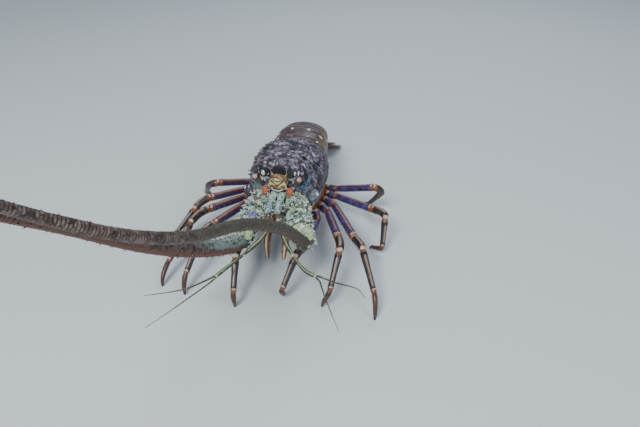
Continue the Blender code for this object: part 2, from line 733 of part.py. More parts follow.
def build_eye(side):
    """An eyestalk and the eye on its end."""
    sign = SIDES[side]
    root = on_front(side, *EYE_BASE)
    look = unit((sign * EYE_LOOK[0], EYE_LOOK[1], EYE_LOOK[2]))
    neck = root + FORWARD * EYESTALK_NECK
    end = neck + look * EYESTALK_LENGTH
    points = [root, neck, end]
    halves = [(EYESTALK_RADIUS,) * 2, (EYESTALK_RADIUS * 0.86,) * 2, (EYESTALK_RADIUS,) * 2]
    stalk = tube(points, halves, 10, first_normal=FORWARD, last_normal=look)
    mesh_object(f"eyestalk_{side}", stalk, "horn_black")
    profile = [(0.0, 0.7), (0.22, 0.95), (0.5, 1.0), (0.78, 0.84), (0.96, 0.5)]
    start = end + look * GAP
    reach = EYE_RADIUS * 1.65
    points = [start + look * reach * share for share, _ in profile]
    halves = [(EYE_RADIUS * wide * 0.92, EYE_RADIUS * wide) for _, wide in profile]
    ball = tube(points, halves, 12, first_normal=look, last_normal=look)
    ball[0].append(start + look * reach * 1.08)
    count = 12
    last = (len(profile) - 1) * count
    ball[1].pop()
    ball[1].extend((last + j, last + (j + 1) % count, len(ball[0]) - 1) for j in range(count))
    mesh_object(f"eye_{side}", ball, "eye_dark")


def build_antennular_plate():
    """The plate between the antennae, with its four spines."""
    points = [Vector((0, FRONT_Y - GAP - PLATE_DEPTH * t, PLATE_Z - 1.2 * t)) for t in (0.0, 0.5, 1.0)]
    halves = [PLATE_HALF, (PLATE_HALF[0] * 0.97, PLATE_HALF[1]), (PLATE_HALF[0] * 0.9, PLATE_HALF[1] * 0.9)]
    body = tube(points, halves, 14, first_normal=FORWARD, last_normal=FORWARD)
    spines = []
    for sign in SIDES.values():
        spines.append(spine(Vector((sign * 4.4, -60.5, PLATE_Z + 5.2)), (sign * 0.15, -1.0, 0.5), 8.5, 2.0))
        spines.append(spine(Vector((sign * 4.8, -61.0, PLATE_Z - 3.6)), (sign * 0.3, -1.0, 0.1), 6.5, 1.8))
    fuse("antennular_plate", body, spines, "face_cream")


def build_antennule(side):
    """A slender antennule: a jointed stem and two whips."""
    root = on_front(side, *ANTENNULE_BASE)
    route = ANTENNULES[side]
    stem = smooth_route([root, *route["stem"]], len(STEM_RADII))
    heading = unit(stem[-1] - stem[-2])
    body = tube(stem, [(r, r) for r in STEM_RADII], 8, first_normal=FORWARD, last_normal=heading)
    mesh_object(f"antennule_{side}_base", body, "antennule_green")
    across = unit(Vector(route["outer"][-1]) - Vector(route["inner"][-1]))
    across = unit(across - heading * across.dot(heading))
    for name, hand, thick in (("outer", 1, 1.15), ("inner", -1, 1.0)):
        start = stem[-1] + heading * GAP + across * hand * 1.35
        lead = start + heading * 4.0 + across * hand * 0.8
        points = smooth_route([start, lead, *route[name]], 12)
        halves = [(max(thick * (1 - i / 14), 0.3),) * 2 for i in range(12)]
        whip = tube(points, halves, 6, first_normal=heading, tip=True)
        mesh_object(f"antennule_{side}_{name}", whip, "antennule_green")


def build_antenna(side):
    """An antenna: three stout spiny base segments and the whip in three lengths."""
    draw = random.Random(11)
    sign = SIDES[side]
    joints = [on_front(side, *ANTENNA_BASE)] + [Vector(p) for p in ANTENNA_JOINTS[side]]
    headings = [FORWARD]
    for i in range(1, 3):
        headings.append(unit(unit(joints[i] - joints[i - 1]) + unit(joints[i + 1] - joints[i])))
    whip_points = [joints[3]] + [Vector(p) for p in WHIP_ROUTES[side]]
    headings.append(unit(unit(joints[3] - joints[2]) + unit(whip_points[1] - whip_points[0])))
    for i in range(3):
        start, end = joints[i] + headings[i] * (GAP if i else 0.0), joints[i + 1]
        near, far = ANTENNA_HALF[i], ANTENNA_HALF[i + 1]
        pull = (end - start).length
        points, halves = [], []
        for t, wide in ((0.0, 0.86 if i else 1.0), (0.22, 1.0), (0.52, 1.04), (0.84, 1.06), (1.0, 0.94)):
            points.append(hermite(start, headings[i] * pull, end, headings[i + 1] * pull, t))
            halves.append(tuple(wide * (a + (b - a) * t) for a, b in zip(near, far)))
        body = tube(points, halves, 12, first_normal=headings[i], last_normal=headings[i + 1])
        extras = antenna_spines(points, halves, draw, sign)
        if i == 0:
            lobe = Vector((sign * LOBE_MIDDLE[0], *LOBE_MIDDLE[1:]))
            extras.append(ball(lobe, *LOBE_HALF))
        fuse(f"antenna_{side}_base_{i + 1}", body, extras, "antenna_teal")
    build_whip(side, whip_points, headings[3])


def antenna_spines(points, halves, draw, sign):
    """Spines on the upper and outer sides of one antenna segment, leaning forward."""
    made = []
    for row, (place, count) in enumerate(ANTENNA_SPINES):
        heading = unit(points[place + 1] - points[place - 1])
        across = unit(UP.cross(heading))
        over = heading.cross(across)
        for k in range(count):
            share = (k + 0.5) / count
            low, high = ANTENNA_SPINE_SWEEP
            angle = math.radians(low + (high - low) * share + (row - 1) * 6 + draw.uniform(-5, 5))
            if sign < 0:
                angle = math.pi - angle
            out = across * math.cos(angle) + over * math.sin(angle)
            root = points[place] + out * (halves[place][0] + halves[place][1]) * 0.47
            made.append(spine(root, out + heading * 0.8, draw.uniform(5.5, 8.0), 1.9, sides=4, sink=0.32))
    return made


def build_whip(side, route, first_heading):
    """The long whip in three lengths, with short spines on the first two."""
    lengths = 3
    count = lengths * WHIP_RINGS + 1
    points = smooth_route(route, count)
    draw = random.Random(5)
    base_radius = WHIP_BASE_RADII[side]

    def radius(i):
        return WHIP_TIP_RADIUS + (base_radius - WHIP_TIP_RADIUS) * (1 - i / (count - 1)) ** WHIP_TAPER

    for part in range(lengths):
        first, last = part * WHIP_RINGS, (part + 1) * WHIP_RINGS
        stretch = [p.copy() for p in points[first:last + 1]]
        start_normal = first_heading if part == 0 else unit(points[first + 1] - points[first - 1])
        end_normal = unit(points[min(last + 1, count - 1)] - points[last - 1])
        stretch[0] += start_normal * GAP
        halves = [(radius(i), radius(i)) for i in range(first, last + 1)]
        body = tube(stretch, halves, WHIP_SIDES, first_normal=start_normal, last_normal=end_normal,
                    tip=part == lengths - 1)
        spines = []
        for k in range(WHIP_SPINES[part]):
            share = (k + 0.7) / (WHIP_SPINES[part] + 0.6) * WHIP_RINGS
            i = int(share)
            at = stretch[i].lerp(stretch[i + 1], share - i)
            heading = unit(stretch[i + 1] - stretch[i])
            across = unit(UP.cross(heading))
            angle = k * 2.4 + draw.uniform(-0.3, 0.3)
            out = across * math.cos(angle) + across.cross(heading) * math.sin(angle)
            wide = radius(first + share)
            length = WHIP_SPINE_LENGTH * wide / base_radius
            spines.append(spine(at + out * wide * 0.9, out + heading * 0.9, length, 1.2, sides=4))
        fuse(f"antenna_{side}_whip_{part + 1}", body, spines, "antenna_teal")


def build_maxilliped(side):
    """The leg-like outer mouthpart that hangs under the head."""
    sign = SIDES[side]
    root = Vector((sign * MAXILLIPED_X, STERNUM_FRONT_Y - GAP, belly_z(STERNUM_FRONT_Y) - 7.0))
    ahead = [Vector((x, root.y + y, root.z + z)) for x, y, z in MAXILLIPED_ROUTES[side]]
    points = smooth_route([root, *ahead], len(MAXILLIPED_RADII))
    shape = tube(points, [(r * 0.86, r) for r in MAXILLIPED_RADII], 8, upward=unit((0, -0.4, 1)),
                 first_normal=FORWARD, tip=True)
    mesh_object(f"maxilliped_{side}", shape, "leg_brown")


def centre_on_floor():
    """Moves every piece so that the origin is at the bottom middle of the whole animal's box."""
    pieces = [o for o in bpy.data.objects if o.type == "MESH"]
    corners = [v.co for o in pieces for v in o.data.vertices]
    low = [min(c[k] for c in corners) for k in range(3)]
    high = [max(c[k] for c in corners) for k in range(3)]
    shift = Vector((-(low[0] + high[0]) / 2, -(low[1] + high[1]) / 2, -low[2]))
    for piece in pieces:
        for vertex in piece.data.vertices:
            vertex.co += shift


def main():
    clear_scene()
    build_carapace()
    build_sternum()
    build_abdomen()
    build_tail_fan()
    build_antennular_plate()
    for side in SIDES:
        build_horn(side)
        build_eye(side)
        build_antennule(side)
        build_antenna(side)
        build_maxilliped(side)
        for index in range(len(COXA_Y)):
            build_upper_leg(side, index)
            build_lower_leg(side, index)
    centre_on_floor()


main()
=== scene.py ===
"""Fine shells, spines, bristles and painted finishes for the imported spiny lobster.

Sizes are in millimetres in the animal's own frame: the head looks along -Y, +X is the animal's left, +Z is
up and the carapace's middle is at nought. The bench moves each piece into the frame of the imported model, in
metres.
"""

import logging
import math
import random
from collections.abc import Callable, Iterable
from dataclasses import dataclass, field
from enum import Enum

import bpy
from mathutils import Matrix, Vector, noise


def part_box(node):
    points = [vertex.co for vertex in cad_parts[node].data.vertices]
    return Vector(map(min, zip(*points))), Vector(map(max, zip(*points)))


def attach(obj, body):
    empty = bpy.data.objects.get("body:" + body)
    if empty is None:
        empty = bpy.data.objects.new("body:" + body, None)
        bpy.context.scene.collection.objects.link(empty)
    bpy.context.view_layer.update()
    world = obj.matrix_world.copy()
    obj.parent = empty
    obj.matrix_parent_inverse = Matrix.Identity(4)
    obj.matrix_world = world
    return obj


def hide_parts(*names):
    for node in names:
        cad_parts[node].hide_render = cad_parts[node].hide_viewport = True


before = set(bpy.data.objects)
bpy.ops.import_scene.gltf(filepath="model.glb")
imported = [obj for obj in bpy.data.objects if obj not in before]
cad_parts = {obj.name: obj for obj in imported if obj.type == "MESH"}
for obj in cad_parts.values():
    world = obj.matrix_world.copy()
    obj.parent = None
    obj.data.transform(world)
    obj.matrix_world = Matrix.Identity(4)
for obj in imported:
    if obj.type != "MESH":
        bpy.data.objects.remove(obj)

LOG = logging.getLogger("spiny_lobster")
MM = 0.001
UP = Vector((0.0, 0.0, 1.0))
FORWARD = Vector((0.0, -1.0, 0.0))
LEFTWARD = Vector((1.0, 0.0, 0.0))
GAP = 0.3
SPINE_SINK = 0.3
EVEN = (1.0, 1.0, 1.0)

Colour = tuple[float, float, float]
Triple = tuple[float, float, float]


class Side(Enum):
    """Which side of the animal a paired piece is on; its value is the sign of x there."""

    LEFT = 1
    RIGHT = -1

    @property
    def word(self) -> str:
        """The side's name, as the nodes have it."""
        return self.name.lower()


class Grain(Enum):
    """Which pattern a layer of colour or relief follows."""

    CLOUDS = "clouds"
    CELLS = "cells"
    VEINS = "veins"


# Curves and small sums

def unit(vector: Vector | Triple) -> Vector:
    """The vector's direction, one long."""
    return Vector(vector).normalized()


def ease(value: float, low: float = 0.0, high: float = 1.0) -> float:
    """Climbs smoothly from 0 at low to 1 at high."""
    t = min(max((value - low) / (high - low), 0.0), 1.0)
    return t * t * (3 - 2 * t)


def hump(value: float, middle: float, width: float) -> float:
    """A bell that is 1 at its middle and falls off over its width."""
    return math.exp(-(((value - middle) / width) ** 2))


def within(value: float, start: float, full: float, fade: float, end: float) -> float:
    """1 between full and fade; it climbs from 0 at start and is back at 0 at end."""
    return ease(value, start, full) * (1 - ease(value, fade, end))


def lumps(far: float, angle: float, along: float, around: float, seed: float = 0.0) -> float:
    """Smooth lumps over a tube, as fast along and around it as the two rates say."""
    return noise.noise(Vector((far * along, math.cos(angle) * around, math.sin(angle) * around + seed)))


def squarer(value: float, power: float) -> float:
    """A sine or cosine, bent so that an oval made with it has fuller corners."""
    return math.copysign(abs(value) ** (2 / power), value)


def crosswise(heading: Vector) -> tuple[Vector, Vector]:
    """The level direction across a heading, and the upper one square to both."""
    across = unit(UP.cross(heading))
    return across, heading.cross(across)


def reaches(points: list[Vector]) -> list[float]:
    """How far along a route each of its points is."""
    reach = [0.0]
    for a, b in zip(points, points[1:]):
        reach.append(reach[-1] + (b - a).length)
    return reach


def between(stations: list[tuple[float, ...]], at: float) -> list[float]:
    """Smooth values between stations.

    Args:
        stations: Tuples whose first number is their place along the curve.
        at: The place to read.

    Returns:
        The other numbers of a station, at that place.
    """
    last = len(stations) - 1
    at = min(max(at, stations[0][0]), stations[-1][0])
    index = max(i for i in range(last) if stations[i][0] <= at)
    before, start = stations[max(index - 1, 0)], stations[index]
    end, after = stations[index + 1], stations[min(index + 2, last)]
    span = end[0] - start[0]
    t = (at - start[0]) / span
    rise = 3 * t**2 - 2 * t**3
    pull_in, pull_out = t**3 - 2 * t**2 + t, t**3 - t**2
    values = []
    for k in range(1, len(start)):
        slope_in = (end[k] - before[k]) / (end[0] - before[0]) * span
        slope_out = (after[k] - start[k]) / (after[0] - start[0]) * span
        values.append((1 - rise) * start[k] + pull_in * slope_in + rise * end[k] + pull_out * slope_out)
    return values


def smooth_route(points: Iterable[Vector | Triple], count: int) -> list[Vector]:
    """Evenly spaced points on one smooth curve.

    Args:
        points: The points that the curve passes through.
        count: How many points to return.

    Returns:
        The spaced points, with the first and last of the given ones at the ends.
    """
    points = [Vector(p) for p in points]
    reach = reaches(points)
    stations = [(r, *p) for r, p in zip(reach, points)]
    return [Vector(between(stations, reach[-1] * i / (count - 1))) for i in range(count)]


def hermite(start: Vector, start_pull: Vector, end: Vector, end_pull: Vector, t: float) -> Vector:
    """A point on the curve that leaves start along one pull and reaches end along the other.

    Args:
        start: Where the curve begins.
        start_pull: Its direction and strength there.
        end: Where the curve ends.
        end_pull: Its direction and strength there.
        t: The share of the way, from 0 to 1.

    Returns:
        The point on the curve.
    """
    rise = 3 * t**2 - 2 * t**3
    return (start * (1 - rise) + start_pull * (t**3 - 2 * t**2 + t)
            + end * rise + end_pull * (t**3 - t**2))


# Surfaces

@dataclass(frozen=True)
class Spot:
    """A rounded patch of paint: its middle and its half sizes."""

    middle: Triple
    halves: Triple

    def strength(self, point: Vector) -> float:
        """How much paint a point takes: 1 well inside, one half on the edge, 0 outside."""
        far = math.sqrt(sum(((point[k] - self.middle[k]) / self.halves[k]) ** 2 for k in range(3)))
        return min(max(1.5 - far, 0.0), 1.0)


@dataclass
class Skin:
    """A surface in millimetres: its points, its faces and the values painted on its points."""

    points: list[Vector] = field(default_factory=list)
    faces: list[tuple[int, ...]] = field(default_factory=list)
    paint: dict[str, list[float]] = field(default_factory=dict)

    def add(self, other: "Skin") -> "Skin":
        """Joins another surface to this one; a value that one of them lacks is nought there."""
        start = len(self.points)
        for name in {**self.paint, **other.paint}:
            mine = self.paint.setdefault(name, [0.0] * start)
            mine.extend(other.paint.get(name, [0.0] * len(other.points)))
        self.points.extend(other.points)
        self.faces.extend(tuple(start + i for i in face) for face in other.faces)
        return self

    def brush(self, name: str, rule: Callable[[Vector], float]) -> "Skin":
        """Paints a value on every point by a rule on where the point is."""
        self.paint[name] = [rule(p) for p in self.points]
        return self

    def dab(self, name: str, spots: Iterable[Spot]) -> "Skin":
        """Paints rounded patches, the strongest one winning where they meet."""
        spots = list(spots)
        return self.brush(name, lambda p: max((s.strength(p) for s in spots), default=0.0))

    def stroke(self, **rules: Callable[[float, float, float, float], float]) -> "Skin":
        """Paints a tube by rules on each point's share, reach, top and flank."""
        marks = list(zip(*(self.paint[name] for name in ("share", "reach", "top", "flank"))))
        for name, rule in rules.items():
            self.paint[name] = [rule(*mark) for mark in marks]
        return self


def middle_of(points: list[Vector]) -> Vector:
    """The mean of some points."""
    return sum(points, Vector()) / len(points)


def loft(rings: list[list[Vector]], paint: dict[str, list[list[float]]] | None = None,
         start_bulge: float = 0.4, end_bulge: float = 0.4, start_rows: int = 0, end_rows: int = 0) -> Skin:
    """A closed surface through rings of points, each end closed by a small dome or a point.

    Args:
        rings: Rings with the same number of points.
        paint: For each painted value, one list a ring.
        start_bulge: How far the first end swells past its ring.
        end_bulge: How far the last end swells past its ring.
        start_rows: Rings over the first end's flat, where it is painted finely.
        end_rows: Rings over the last end's flat.

    Returns:
        The surface, with its painted values.
    """
    rings = [list(r) for r in rings]
    paint = {name: [list(row) for row in rows] for name, rows in (paint or {}).items()}
    count = len(rings[0])
    poles = []
    for first, bulge, rows_over in ((True, start_bulge, start_rows), (False, end_bulge, end_rows)):
        edge, inner = (rings[0], rings[1]) if first else (rings[-1], rings[-2])
        middle = middle_of(edge)
        out = unit(middle - middle_of(inner))
        cap = [(1 - k / rows_over, 1 - (1 - k / rows_over) ** 2) for k in range(1, rows_over)]
        for scale, share in cap or ((0.9, 0.45), (0.55, 0.85)):
            made = [middle + (p - middle) * scale + out * bulge * share for p in edge]
            rings.insert(0 if first else len(rings), made)
            for rows in paint.values():
                rows.insert(0 if first else len(rows), list(rows[0 if first else -1]))
        poles.append(middle + out * bulge)
    points = [p for ring in rings for p in ring]
    values = {name: [v for row in rows for v in row] for name, rows in paint.items()}
    faces = []
    for i in range(len(rings) - 1):
        for j in range(count):
            a, b = i * count + j, i * count + (j + 1) % count
            faces.append((a, b, b + count, a + count))
    last = (len(rings) - 1) * count
    top = len(points)
    points.extend(poles)
    for j in range(count):
        after = (j + 1) % count
        faces.append((after, j, top))
        faces.append((last + j, last + after, top + 1))
    for name, rows in paint.items():
        values[name] += [rows[0][0], rows[-1][0]]
    return Skin(points, faces, values)


@dataclass(frozen=True)
class Station:
    """One cross-section of a tube: its centre, half width and half height."""

    centre: Vector
    wide: float
    high: float


def tube(stations: list[Station], sides: int, spacing: float, upward: Vector = UP,
         first_normal: Vector | None = None, last_normal: Vector | None = None,
         relief: Callable[[float, float], float] | None = None,
         start_bulge: float = 0.35, end_bulge: float = 0.35, end_rows: int = 0) -> Skin:
    """A fine tube through coarse stations, which never twists.

    Args:
        stations: The cross-sections that it passes through.
        sides: Points round each ring.
        spacing: The distance between rings.
        upward: Which way the first ring's top faces.
        first_normal: The direction that the first ring faces, if it isn't the route's own.
        last_normal: The direction that the last ring faces, if it isn't the route's own.
        relief: Extra height over the tube, from the distance along it and the angle round it.
        start_bulge: How far the first end swells.
        end_bulge: How far the last end swells.
        end_rows: Rings over the last end's flat.

    Returns:
        The surface, painted with share (of the way along), reach (millimetres along), top (1 on top, -1
        below) and flank (1 on one side, -1 on the other).
    """
    reach = reaches([s.centre for s in stations])
    marks = [(r, *s.centre, s.wide, s.high) for r, s in zip(reach, stations)]
    total = reach[-1]
    count = max(int(total / spacing) + 2, 5)
    samples = [between(marks, total * i / (count - 1)) for i in range(count)]
    centres = [Vector(s[:3]) for s in samples]
    rings = []
    paint = {"share": [], "reach": [], "top": [], "flank": []}
    turns = [2 * math.pi * j / sides for j in range(sides)]
    lift = upward
    for i, (centre, sample) in enumerate(zip(centres, samples)):
        wide, high = sample[3:]
        far = total * i / (count - 1)
        heading = unit(centres[min(i + 1, count - 1)] - centres[max(i - 1, 0)])
        if first_normal is not None:
            heading = unit(heading.lerp(unit(first_normal), 1 - ease(far, 0, 2.4 * wide)))
        if last_normal is not None:
            heading = unit(heading.lerp(unit(last_normal), 1 - ease(total - far, 0, 2.4 * wide)))
        lift = lift - heading * lift.dot(heading)
        lift = unit(lift) if lift.length > 0.05 else heading.orthogonal().normalized()
        across = unit(lift.cross(heading))
        over = heading.cross(across)
        ring = []
        for angle in turns:
            out = across * math.cos(angle) * wide + over * math.sin(angle) * high
            if relief is not None:
                out += unit(out) * relief(far, angle)
            ring.append(centre + out)
        rings.append(ring)
        paint["share"].append([far / total] * sides)
        paint["reach"].append([far] * sides)
        paint["top"].append([math.sin(a) for a in turns])
        paint["flank"].append([math.cos(a) for a in turns])
    return loft(rings, paint, start_bulge, end_bulge, end_rows=end_rows)


def knob(middle: Vector, wide: float, high: float, sides: int,
         relief: Callable[[float, float], float]) -> Skin:
    """An upright rounded knob.

    Args:
        middle: Its middle.
        wide: Its radius.
        high: Half its height.
        sides: Points round each ring.
        relief: Extra height over it, from the distance up it and the angle round it.

    Returns:
        The surface.
    """
    stations = []
    for i in range(17):
        turn = math.pi * (0.04 + 0.92 * i / 16)
        radius = wide * math.sin(turn)
        stations.append(Station(middle - UP * high * math.cos(turn), radius, radius))
    return tube(stations, sides, 0.6, upward=FORWARD, relief=relief, start_bulge=0.05, end_bulge=0.05)


@dataclass
class Roots:
    """Where spines stand: the foot, direction, bending direction, length and foot radius of each."""

    feet: list[Vector] = field(default_factory=list)
    facing: list[Vector] = field(default_factory=list)
    toward: list[Vector] = field(default_factory=list)
    sizes: list[tuple[float, float]] = field(default_factory=list)

    def plant(self, root: Vector, facing: Vector, toward: Vector, length: float, radius: float) -> None:
        """Adds one spine whose foot is sunk below its root.

        Args:
            root: The place on the shell.
            facing: The spine's direction.
            toward: The direction that its tip curls to.
            length: How far it stands out.
            radius: Its half width at the root.
        """
        facing = unit(facing)
        self.feet.append(root - facing * length * SPINE_SINK)
        self.facing.append(facing)
        self.toward.append(unit(toward))
        self.sizes.append((length * (1 + SPINE_SINK), radius * (1 + SPINE_SINK)))


# Node trees

class Sheet:
    """A node tree that is written one node at a time."""

    def __init__(self, tree: bpy.types.NodeTree) -> None:
        """Starts on a tree."""
        self.tree = tree

    def node(self, kind: str, inputs: dict[int | str, object] | None = None,
             **settings: object) -> bpy.types.Node:
        """Adds a node.

        Args:
            kind: Blender's name for the node type.
            inputs: What each input gets: a socket to link, or a value.
            settings: The node's own options.

        Returns:
            The new node.
        """
        made = self.tree.nodes.new(kind)
        for name, value in settings.items():
            setattr(made, name, value)
        for key, value in (inputs or {}).items():
            if isinstance(value, bpy.types.NodeSocket):
                self.tree.links.new(value, made.inputs[key])
            else:
                made.inputs[key].default_value = value
        return made

    def out(self, kind: str, inputs: dict[int | str, object] | None = None,
            **settings: object) -> bpy.types.NodeSocket:
        """Adds a node and gives its first output."""
        return self.node(kind, inputs, **settings).outputs[0]

    def sum(self, operation: str, *values: object) -> bpy.types.NodeSocket:
        """The result of one sum on numbers."""
        return self.out("ShaderNodeMath", dict(enumerate(values)), operation=operation)


class Growth:
    """The two geometry trees of the animal: spines on given roots, and bristles strewn over a shell."""

    def __init__(self) -> None:
        """Writes both trees."""
        self.spines = self._spine_tree()
        self.bristles = self._bristle_tree()

    @staticmethod
    def _start(name: str, sockets: dict[str, str]) -> tuple[Sheet, bpy.types.Node]:
        """A new tree with a geometry in and out and its named inputs.

        Args:
            name: The tree's name.
            sockets: Each further input's name and socket type.

        Returns:
            The sheet to write on, and the tree's input node.
        """
        tree = bpy.data.node_groups.new(name, "GeometryNodeTree")
        tree.interface.new_socket("Geometry", in_out="OUTPUT", socket_type="NodeSocketGeometry")
        tree.interface.new_socket("Geometry", in_out="INPUT", socket_type="NodeSocketGeometry")
        for socket, kind in sockets.items():
            tree.interface.new_socket(socket, in_out="INPUT", socket_type=kind)
        sheet = Sheet(tree)
        return sheet, sheet.node("NodeGroupInput")

    @staticmethod
    def _thorn(sheet: Sheet, sides: object, rows: object, bend: object) -> bpy.types.NodeSocket:
        """One thorn, a unit long and a unit in radius, whose tip bends towards its own +X.

        Args:
            sheet: The tree to write on.
            sides: Points round it.
            rows: Rings along it.
            bend: How far its tip leans over.

        Returns:
            The socket with the thorn's mesh, painted with tip.
        """
        cone = sheet.out("GeometryNodeMeshCone", {
            "Vertices": sides, "Side Segments": rows, "Radius Top": 0.0, "Radius Bottom": 1.0, "Depth": 1.0})
        position = sheet.out("GeometryNodeInputPosition")
        height = sheet.node("ShaderNodeSeparateXYZ", {0: position}).outputs["Z"]
        lean = sheet.sum("MULTIPLY", sheet.sum("MULTIPLY", height, height), bend)
        offset = sheet.out("ShaderNodeCombineXYZ", {"X": lean})
        bent = sheet.out("GeometryNodeSetPosition", {"Geometry": cone, "Offset": offset})
        return sheet.out("GeometryNodeStoreNamedAttribute",
                         {"Geometry": bent, "Name": "tip", "Value": height},
                         data_type="FLOAT", domain="POINT")

    @staticmethod
    def _named(sheet: Sheet, name: str, kind: str) -> bpy.types.NodeSocket:
        """The value that a point carries under a name."""
        return sheet.out("GeometryNodeInputNamedAttribute", {"Name": name}, data_type=kind)

    def _stand(self, sheet: Sheet, entry: bpy.types.Node, points: bpy.types.NodeSocket,
               facing: bpy.types.NodeSocket, toward: bpy.types.NodeSocket,
               size: tuple[bpy.types.NodeSocket, bpy.types.NodeSocket]) -> None:
        """Stands a thorn on every point, joins them all to the shell and closes the tree.

        Args:
            sheet: The tree to write on.
            entry: The tree's input node.
            points: The points.
            facing: The direction that each thorn stands in.
            toward: The direction that its tip bends to.
            size: Its radius and its length.
        """
        ask = entry.outputs
        thorn = self._thorn(sheet, ask["Sides"], ask["Rows"], ask["Bend"])
        turn = "FunctionNodeAlignRotationToVector"
        upright = sheet.out(turn, {"Vector": facing}, axis="Z")
        curl = sheet.out(turn, {"Rotation": upright, "Vector": toward}, axis="X", pivot_axis="Z")
        scale = sheet.out("ShaderNodeCombineXYZ", {"X": size[0], "Y": size[0], "Z": size[1]})
        thorns = sheet.out("GeometryNodeInstanceOnPoints",
                           {"Points": points, "Instance": thorn, "Rotation": curl, "Scale": scale})
        real = sheet.out("GeometryNodeRealizeInstances", {0: thorns})
        smooth = sheet.out("GeometryNodeSetShadeSmooth", {0: real})
        dressed = sheet.out("GeometryNodeSetMaterial", {"Geometry": smooth, "Material": ask["Finish"]})
        joined = sheet.node("GeometryNodeJoinGeometry")
        sheet.tree.links.new(dressed, joined.inputs[0])
        sheet.tree.links.new(ask["Geometry"], joined.inputs[0])
        sheet.node("NodeGroupOutput", {0: joined.outputs[0]})

    def _spine_tree(self) -> bpy.types.NodeTree:
        """Spines that stand on the points of another object, each with its own size and direction."""
        sheet, entry = self._start("spines on roots", {
            "Roots": "NodeSocketObject", "Sides": "NodeSocketInt", "Rows": "NodeSocketInt",
            "Bend": "NodeSocketFloat", "Finish": "NodeSocketMaterial"})
        roots = sheet.node("GeometryNodeObjectInfo", {"Object": entry.outputs["Roots"]})
        facing, toward = (self._named(sheet, name, "FLOAT_VECTOR") for name in ("facing", "toward"))
        stout, length = (self._named(sheet, name, "FLOAT") for name in ("stout", "length"))
        self._stand(sheet, entry, roots.outputs["Geometry"], facing, toward, (stout, length))
        return sheet.tree

    def _bristle_tree(self) -> bpy.types.NodeTree:
        """Bristles or small tubercles strewn over the painted part of a shell."""
        sheet, entry = self._start("strewn bristles", {
            "Density": "NodeSocketFloat", "Seed": "NodeSocketInt", "Length": "NodeSocketFloat",
            "Radius": "NodeSocketFloat", "Spread": "NodeSocketFloat", "Lean": "NodeSocketVector",
            "Sides": "NodeSocketInt", "Rows": "NodeSocketInt", "Bend": "NodeSocketFloat",
            "Finish": "NodeSocketMaterial"})
        ask = entry.outputs
        density = sheet.sum("MULTIPLY", self._named(sheet, "strewn", "FLOAT"), ask["Density"])
        strewn = sheet.node("GeometryNodeDistributePointsOnFaces",
                            {"Mesh": ask["Geometry"], "Density": density, "Seed": ask["Seed"]},
                            distribute_method="RANDOM")
        stray = sheet.out("FunctionNodeRandomValue",
                          {0: (-1.0, -1.0, -1.0), 1: (1.0, 1.0, 1.0), "Seed": ask["Seed"]},
                          data_type="FLOAT_VECTOR")
        sums = "ShaderNodeVectorMath"
        strayed = sheet.out(sums, {0: stray, "Scale": ask["Spread"]}, operation="SCALE")
        leaning = sheet.out(sums, {0: strewn.outputs["Normal"], 1: ask["Lean"]}, operation="ADD")
        facing = sheet.out(sums, {0: leaning, 1: strayed}, operation="ADD")
        share = sheet.node("FunctionNodeRandomValue", {2: 0.55, 3: 1.0, "Seed": ask["Seed"]},
                           data_type="FLOAT").outputs[1]
        length = sheet.sum("MULTIPLY", share, ask["Length"])
        wide = sheet.sum("MULTIPLY", share, ask["Radius"])
        self._stand(sheet, entry, strewn.outputs["Points"], facing, ask["Lean"], (wide, length))
        return sheet.tree


# Finishes

@dataclass(frozen=True)
class Mottle:
    """A layer of colour that takes a share of the surface in a pattern of a given size."""

    colour: Colour
    size: float
    share: float
    grain: Grain = Grain.CLOUDS
    soft: float = 0.06
    stretch: Triple = EVEN
    under: str = ""


@dataclass(frozen=True)
class Layer:
    """A colour laid where a painted value is high, with a ragged edge."""

    paint: str
    colour: Colour
    level: float = 0.5
    soft: float = 0.12
    ragged: float = 0.25
    size: float = 2.5
    strength: float = 1.0


@dataclass(frozen=True)
class Bump:
    """Fine relief in a pattern of a given size."""

    grain: Grain
    size: float
    height: float


